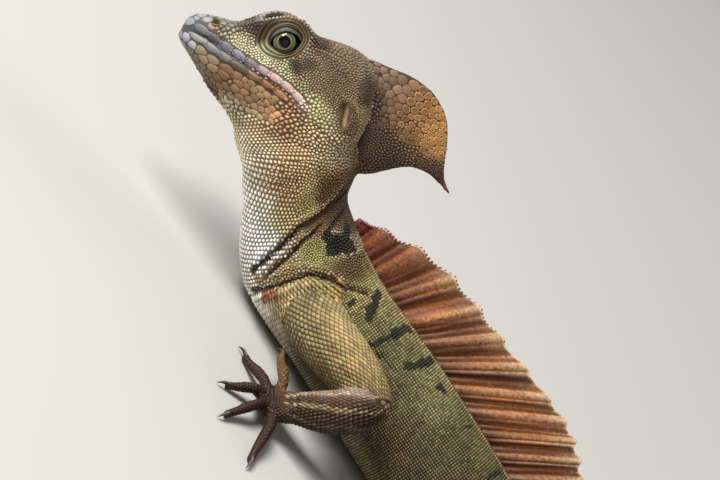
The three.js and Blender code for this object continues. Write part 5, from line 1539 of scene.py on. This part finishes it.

# Nostrils
# A raised ring of skin on each side of the snout, painted darker towards its middle as painted shade, round a
# flat black disc that is the painted shade of the opening. Both are pressed onto the skin there, longer along
# the snout than across it.
NOSTRIL_AT = (28.3, 3.4, 6.7)
for side, word in ((1, "left"), (-1, "right")):
    hit, out, _, _ = skin_tree.find_nearest(Vector(on_head(np.array(NOSTRIL_AT) * (1, side, 1))))
    hit, out = np.array(hit), unit(np.array(out))
    ahead = unit(HEAD_AXES[0] - out * (HEAD_AXES[0] @ out))
    over = np.cross(out, ahead)
    bpy.ops.mesh.primitive_torus_add(
        major_segments=40, minor_segments=16, major_radius=0.8, minor_radius=0.34
    )
    nostril = bpy.context.object
    nostril.name = word + "_nostril"
    x, y, z = own_places(nostril).T
    move_to(nostril, hit + np.outer(x * 1.25, ahead) + np.outer(y, over) + np.outer(z * 0.9 + 0.12, out))
    # The ring darkens towards its opening: painted shade.
    towards_shade = np.clip(1.25 - np.hypot(x, y), 0, 0.45) / 0.45
    paint(nostril, between(tint(150, 128, 112), tint(52, 36, 28), towards_shade))
    bpy.ops.object.shade_smooth()
    nostril.data.materials.append(horny_head)
    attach(nostril, "root")
    # A flat black disc in the ring stands for the opening's shade: painted shade, not a hole.
    bpy.ops.mesh.primitive_uv_sphere_add(segments=24, ring_count=12, radius=1)
    shade_disc = bpy.context.object
    shade_disc.name = word + "_nostril_shade_disc"
    x, y, z = own_places(shade_disc).T
    move_to(shade_disc, hit + np.outer(x * 0.95, ahead) + np.outer(y * 0.75, over) + np.outer(z * 0.2, out))
    paint(shade_disc, np.tile(tint(22, 14, 10), (len(x), 1)))
    bpy.ops.object.shade_smooth()
    shade_disc.data.materials.append(horny_head)
    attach(shade_disc, "root")

# Sail of the back
# A thin pleated skin carried by bony rays that lean back from the spine. Each ray ends in a small point
# and the skin dips between them. A row is a place on the back, or a ray's angle and length there.
SAIL_LEAN = math.radians(12)
SAIL_RAYS = 17
SAIL_FROM, SAIL_LENGTH = 3.5, 117.5
BACK_LINE = [
    (0, 0, 0), (3, 3.5, 34.6), (12, 2.5, 33.4), (24, 2, 32.7), (42, 2.1, 33.3), (62, 2.1, 32.9),
    (82, 2, 31.9), (102, 1.7, 30.1), (118, 1.4, 27.9), (132, 1.2, 25.5),
]
SAIL_SHAPE = [
    (3.5, 104, 1.6), (8, 103, 5.2), (14, 92, 10.2), (20, 80, 14.8), (27, 69, 18.0), (35, 59, 20.2),
    (42, 54, 21.8), (50, 48, 25.2), (60, 47, 26.2), (73, 49, 22.6), (86, 50, 17.0), (98, 51, 12.0),
    (110, 53, 6.4), (121, 56, 1.8),
]


def pleated_sheet(name, columns, rows, shape):
    bpy.ops.mesh.primitive_grid_add(x_subdivisions=columns, y_subdivisions=rows, size=1)
    sheet = bpy.context.object
    sheet.name = name
    flat = own_places(sheet)
    middle, thick, tone = shape(flat[:, 0] + 0.5, flat[:, 1] + 0.5)
    move_to(sheet, middle)
    paint(sheet, tone)
    group = sheet.vertex_groups.new(name="thick")
    for v, amount in enumerate(thick / thick.max()):
        group.add([v], float(amount), "REPLACE")
    wall = sheet.modifiers.new("wall", "SOLIDIFY")
    wall.thickness = float(thick.max()) * 2 / 1000
    wall.offset = 0
    wall.vertex_group = "thick"
    finish_modifiers(sheet)
    bpy.ops.object.shade_smooth()
    return sheet


# How far the skin between two rays dips at its edge, and how it waves from ray to ray.
def between_rays(phase, dip, wave, rise, tall):
    dip = dip * (0.5 - 0.5 * np.cos(phase)) ** 0.7
    wave = wave * np.sin(phase) * np.sin(np.pi * np.minimum(rise * 0.75, 0.62))
    return np.maximum(tall[0] - dip * np.minimum(1, tall[0] / tall[1]), 0.8), wave


def sail_shape(along, rise):
    x = SAIL_FROM + SAIL_LENGTH * along
    angle, length = read_table(SAIL_SHAPE, x).T
    y, z = read_table(BACK_LINE[1:], x).T
    phase = 2 * np.pi * SAIL_RAYS * along
    tall, wave = between_rays(phase, 1.5, 0.6, rise, (length, 10))
    upward = np.array((0, math.sin(SAIL_LEAN), math.cos(SAIL_LEAN)))
    outward = np.array((0, -math.cos(SAIL_LEAN), math.sin(SAIL_LEAN)))
    lean = np.radians(angle)
    way = upward * np.sin(lean)[:, None]
    way[:, 0] = np.cos(lean)
    back = np.column_stack((x, y, z))
    uneven = cloudy(np.column_stack((x, np.full(len(x), 3.0), rise * 4)), 6, 12)
    wave += (0.19 + 0.16 * uneven) * np.sin(3 * phase + 3.4 * uneven) * np.minimum(1, rise * 5)
    middle = between(back - upward * 3, back + way * tall[:, None], rise) + outward * wave[:, None]
    ridge = ((1 + np.cos(phase)) / 2) ** 3
    thick = (0.22 + 0.5 * ridge) * (1 - 0.5 * rise)
    # Red-brown at the front and tan behind, clouded and grained, with pale ridges, dark furrows and a
    # pale edge, and darker again at the foot and far back.
    front = np.clip(1 - (x - SAIL_FROM) / 34, 0, 1)
    clouds = cloudy(np.column_stack((x / 2.2, np.full(len(x), 9.0), rise * 3.2)), 2.6, 14)
    grains = cloudy(middle, 0.55, 13)
    tone = between(tint(150, 94, 56), tint(92, 34, 13), front) * (1 + 0.9 * clouds)[:, None]
    tone = tone * (1 + 0.8 * grains)[:, None]
    fine_ridge = ((1 + np.cos(3 * phase + 1 + 3.4 * uneven)) / 2) ** 6
    ray = np.clip(((1 + np.cos(phase - 0.25)) / 2) ** 9 + 0.5 * fine_ridge, 0, 1) * (0.25 + 0.5 * rise)
    ray_tone = between(tint(196, 146, 94), tint(170, 92, 48), front)
    ray_tone = ray_tone * (0.8 + 0.9 * grains.clip(-1, 1))[:, None]
    tone = between(tone, ray_tone, (ray * (1 - 0.5 * front)).clip(0, 1))
    furrow = np.exp(-(((np.mod(phase - 1.15, 2 * np.pi) - np.pi + 2.1) / 0.42) ** 2))
    furrow = furrow + 0.75 * ((1 + np.cos(3 * phase - 1.4 + 3.4 * uneven)) / 2) ** 5
    tone = between(tone, tint(66, 22, 11), (0.9 * furrow * (1 - 0.3 * rise)).clip(0, 0.92))
    tips = np.clip((rise - 0.72) / 0.28, 0, 1) * (1 - 0.7 * front)
    tone = between(tone, tint(176, 156, 122) * (1 + 0.6 * grains)[:, None], 0.6 * tips * (0.4 + 0.6 * ridge))
    tone = between(tone, tint(212, 176, 140), np.clip((rise - 0.97) / 0.02, 0, 1) * 0.8)
    tone = tone * (0.42 + 0.58 * np.clip(rise / 0.35, 0, 1))[:, None]
    return middle, thick, tone * (1 - 0.5 * np.clip((x - 66) / 30, 0, 1))[:, None]


sail = pleated_sheet("sail", SAIL_RAYS * 34, 72, sail_shape)
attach(sail, "root")
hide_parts("dorsal_sail")
sail_skin = dry_skin("sail_skin", 0.55, 1100, 0.35)
sail.data.materials.append(sail_skin)

# Small horny teeth stand along the front of the sail's edge.
TEETH = 46
teeth = []
for number in range(TEETH):
    along = 0.002 + 0.3 * (number / (TEETH - 1)) ** 1.05
    size = 0.78 - 0.4 * number / TEETH + 0.06 * (number % 3 == 0)
    (root, lower, before), _, _ = sail_shape(
        np.array([along, along, along - 0.004]), np.array([1.0, 0.9, 1.0])
    )
    ahead, outward = unit(root - before), unit(root - lower)
    across = np.cross(ahead, outward)
    bpy.ops.mesh.primitive_ico_sphere_add(subdivisions=2, radius=1)
    tooth = bpy.context.object
    x, y, z = own_places(tooth).T
    taper = 1 - 0.2 * z
    shaped = np.outer(x * taper * size * 0.62, ahead) + np.outer(y * taper * size * 0.5, across)
    move_to(tooth, root + outward * size * 0.14 + shaped + np.outer(z * size * 0.66, outward))
    paint(tooth, between(tint(84, 34, 44), tint(150, 84, 104), (z * 0.5 + 0.5).clip(0, 1)))
    teeth.append(tooth)
teeth = joined(teeth, "sail_teeth")
bpy.ops.object.shade_smooth()
teeth.data.materials.append(dry_skin("horn_teeth", 0.4, 1500, 0.1))
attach(teeth, "root")

# Crest of the tail
# The same kind of skin on shorter rays, from the root of the tail back for a third of its length.
TAIL_ROWS = [(number / (len(TAIL_WAY) - 1), *row) for number, row in enumerate(TAIL_WAY)]
TAIL_CREST_RAYS = 17
TAIL_CREST_FROM, TAIL_CREST_LENGTH = 0.012, 0.358
TAIL_CREST_HEIGHT = 12.5
TAIL_CREST_LEAN = math.radians(58)


def tail_crest_shape(along, rise):
    share = TAIL_CREST_FROM + TAIL_CREST_LENGTH * along
    x, y, z, half = read_table(TAIL_ROWS, share).T
    ahead = unit(read_table(TAIL_ROWS, share + 0.01)[:, :2] - np.column_stack((x, y)))
    ahead = np.column_stack((ahead, np.zeros(len(ahead))))
    outward = np.column_stack((ahead[:, 1], -ahead[:, 0], np.zeros(len(ahead))))
    height = TAIL_CREST_HEIGHT * np.sin(np.pi * along**0.62).clip(0) ** 0.75
    phase = 2 * np.pi * TAIL_CREST_RAYS * along
    tall, wave = between_rays(phase, 1.05, 0.4, rise, (height, 8))
    top = np.column_stack((x, y, z + half / 0.9 * 1.04))
    way = np.array((0, 0, math.sin(TAIL_CREST_LEAN))) + ahead * math.cos(TAIL_CREST_LEAN)
    middle = between(top - np.array((0, 0, 2.4)), top + tall[:, None] * way, rise) + outward * wave[:, None]
    ridge = ((1 + np.cos(phase)) / 2) ** 3
    thick = (0.2 + 0.4 * ridge) * (1 - 0.5 * rise)
    grains = cloudy(middle, 0.55, 13)
    return middle, thick, between(tint(96, 76, 50), tint(146, 126, 92), ridge) * (1 + 0.5 * grains)[:, None]


tail_crest = pleated_sheet("tail_crest_skin", TAIL_CREST_RAYS * 14, 24, tail_crest_shape)
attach(tail_crest, "root")
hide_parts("tail_crest")
tail_crest.data.materials.append(sail_skin)

# Eyes
# Two balls with a round black pupil in a gold-olive iris, under a wet clear surface. They sit behind
# the almond between the lids.
EYE_RADIUS = 4.5
GAZE = (0.135, 0.985, 0.03)
eye_wet, wet, tone = toned("eye_wet")
eye_wet.node_tree.links.new(tone, wet.inputs["Base Color"])
wet.inputs["Roughness"].default_value = 0.3
wet.inputs["Specular IOR Level"].default_value = 0.0
wet.inputs["Coat Weight"].default_value = 1.0
wet.inputs["Coat Roughness"].default_value = 0.01
# Colours from the middle of the pupil outwards, in degrees round the ball.
EYE_RINGS = [
    (0, 0.001, 0.001, 0.001), (18.5, 0.001, 0.001, 0.001), (20, 0.02, 0.02, 0.01), (21.5, 0.15, 0.15, 0.07),
    (25, 0.19, 0.2, 0.09), (28, 0.04, 0.042, 0.022), (30, 0.06, 0.06, 0.03), (33, 0.13, 0.14, 0.065),
    (37, 0.1, 0.095, 0.04), (39.5, 0.012, 0.01, 0.008), (60, 0.008, 0.006, 0.005), (180, 0.01, 0.008, 0.006),
]
for side, node in ((1, "eye_left"), (-1, "eye_right")):
    mirror = np.array((1, side, 1))
    middle = on_head(EYE_AT * mirror)
    gaze = (GAZE * mirror) @ HEAD_AXES
    gaze /= np.linalg.norm(gaze)
    bpy.ops.mesh.primitive_uv_sphere_add(segments=96, ring_count=72, radius=EYE_RADIUS / 1000)
    eye = bpy.context.object
    eye.name = node + "_ball"
    eye.data.transform(Vector((0, 0, 1)).rotation_difference(Vector(gaze)).to_matrix().to_4x4())
    eye.data.transform(Matrix.Translation(Vector(packed(middle))))
    bpy.ops.object.shade_smooth()
    away = places_of(eye) - middle
    angle = np.degrees(np.arccos(np.clip(away @ gaze / EYE_RADIUS, -1, 1)))
    paint(eye, read_table(EYE_RINGS, angle).clip(0))
    eye.data.materials.append(eye_wet)
    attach(eye, "root")
    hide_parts(node)

# Claws
# A slender hooked horn at the end of each finger and toe, dark at the root, and paler along the back as a
# painted highlight.
# A row of the line is a share of the claw, how far ahead of the finger's tip and how high it lies, and
# how thick it is.
CLAW_LINE = [
    (0, -1.5, 1.3, 0.62), (0.3, 0.3, 1.6, 0.6), (0.6, 1.9, 1.45, 0.44), (0.85, 3.1, 0.85, 0.24),
    (1, 3.6, 0.4, 0.06),
]
claw_horn, horn, tone = toned("claw_horn")
claw_horn.node_tree.links.new(tone, horn.inputs["Base Color"])
horn.inputs["Roughness"].default_value = 0.5
bpy.ops.mesh.primitive_cylinder_add(vertices=14, radius=1, depth=1, end_fill_type="TRIFAN")
first_claw = bpy.context.object
bpy.ops.object.mode_set(mode="EDIT")
for cut in (0, -0.4, -0.3, -0.2, -0.1, 0.1, 0.2, 0.3, 0.4):
    bpy.ops.mesh.select_all(action="SELECT")
    bpy.ops.mesh.bisect(plane_co=(0, 0, cut), plane_no=(0, 0, 1))
bpy.ops.object.mode_set(mode="OBJECT")


def claw_height(s):
    return np.interp(s, [row[1] for row in CLAW_LINE], [row[2] for row in CLAW_LINE])


# The skin is drawn in under each claw, so that only horn shows there.
skin_now = places_of(skin)
for _, _, knuckle, tip in EACH_DIGIT:
    ahead = unit(np.array((tip[0] - knuckle[0], tip[1] - knuckle[1], 0)))
    away = skin_now - tip
    s = away @ ahead
    line = np.outer(s, ahead) + np.outer(claw_height(s), (0, 0, 1))
    inside = (s > 0.2) & (s < 5) & (np.linalg.norm(away - line, axis=1) < 1.6)
    drawn_in = np.clip((s - 0.2) / 0.8, 0, 1)
    s = np.where(inside, np.minimum(s, 0.2 + (s - 0.2) * 0.55), s)
    goal = np.outer(s, ahead) + np.outer(claw_height(s), (0, 0, 1))
    goal = goal + (away - line) * (1 - 0.75 * drawn_in)[:, None]
    skin_now[inside] = (tip + goal)[inside]
move_to(skin, skin_now)
for node, number, knuckle, tip in EACH_DIGIT:
    claw = bpy.data.objects.new(f"{node}_claw_{number + 1}", first_claw.data.copy())
    bpy.context.scene.collection.objects.link(claw)
    x, y, z = own_places(claw).T
    t = z + 0.5
    s, height, r = read_table(CLAW_LINE, t).T
    ahead = unit(np.array((tip[0] - knuckle[0], tip[1] - knuckle[1], 0)))
    aside = np.array((ahead[1], -ahead[0], 0))
    places = np.array(tip) + np.outer(s, ahead) + np.outer(x * r * 0.8, aside)
    places = places + np.outer(height + y * r, (0, 0, 1))
    places[:, 2] = places[:, 2].clip(0.08)
    move_to(claw, places)
    claw.data.shade_smooth()
    # The back of the claw is painted paler, most near its root: a painted highlight.
    back_highlight = (y * 1.3 - 0.3).clip(0, 1) * (1 - 0.6 * t)
    paint(claw, between((0.025, 0.01, 0.012), (0.2, 0.16, 0.17), back_highlight))
    claw.data.materials.append(claw_horn)
    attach(claw, "root")
bpy.data.objects.remove(first_claw)

sizes = {"cad": [list(v) for v in cad_box], "visual": [list(v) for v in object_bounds()]}
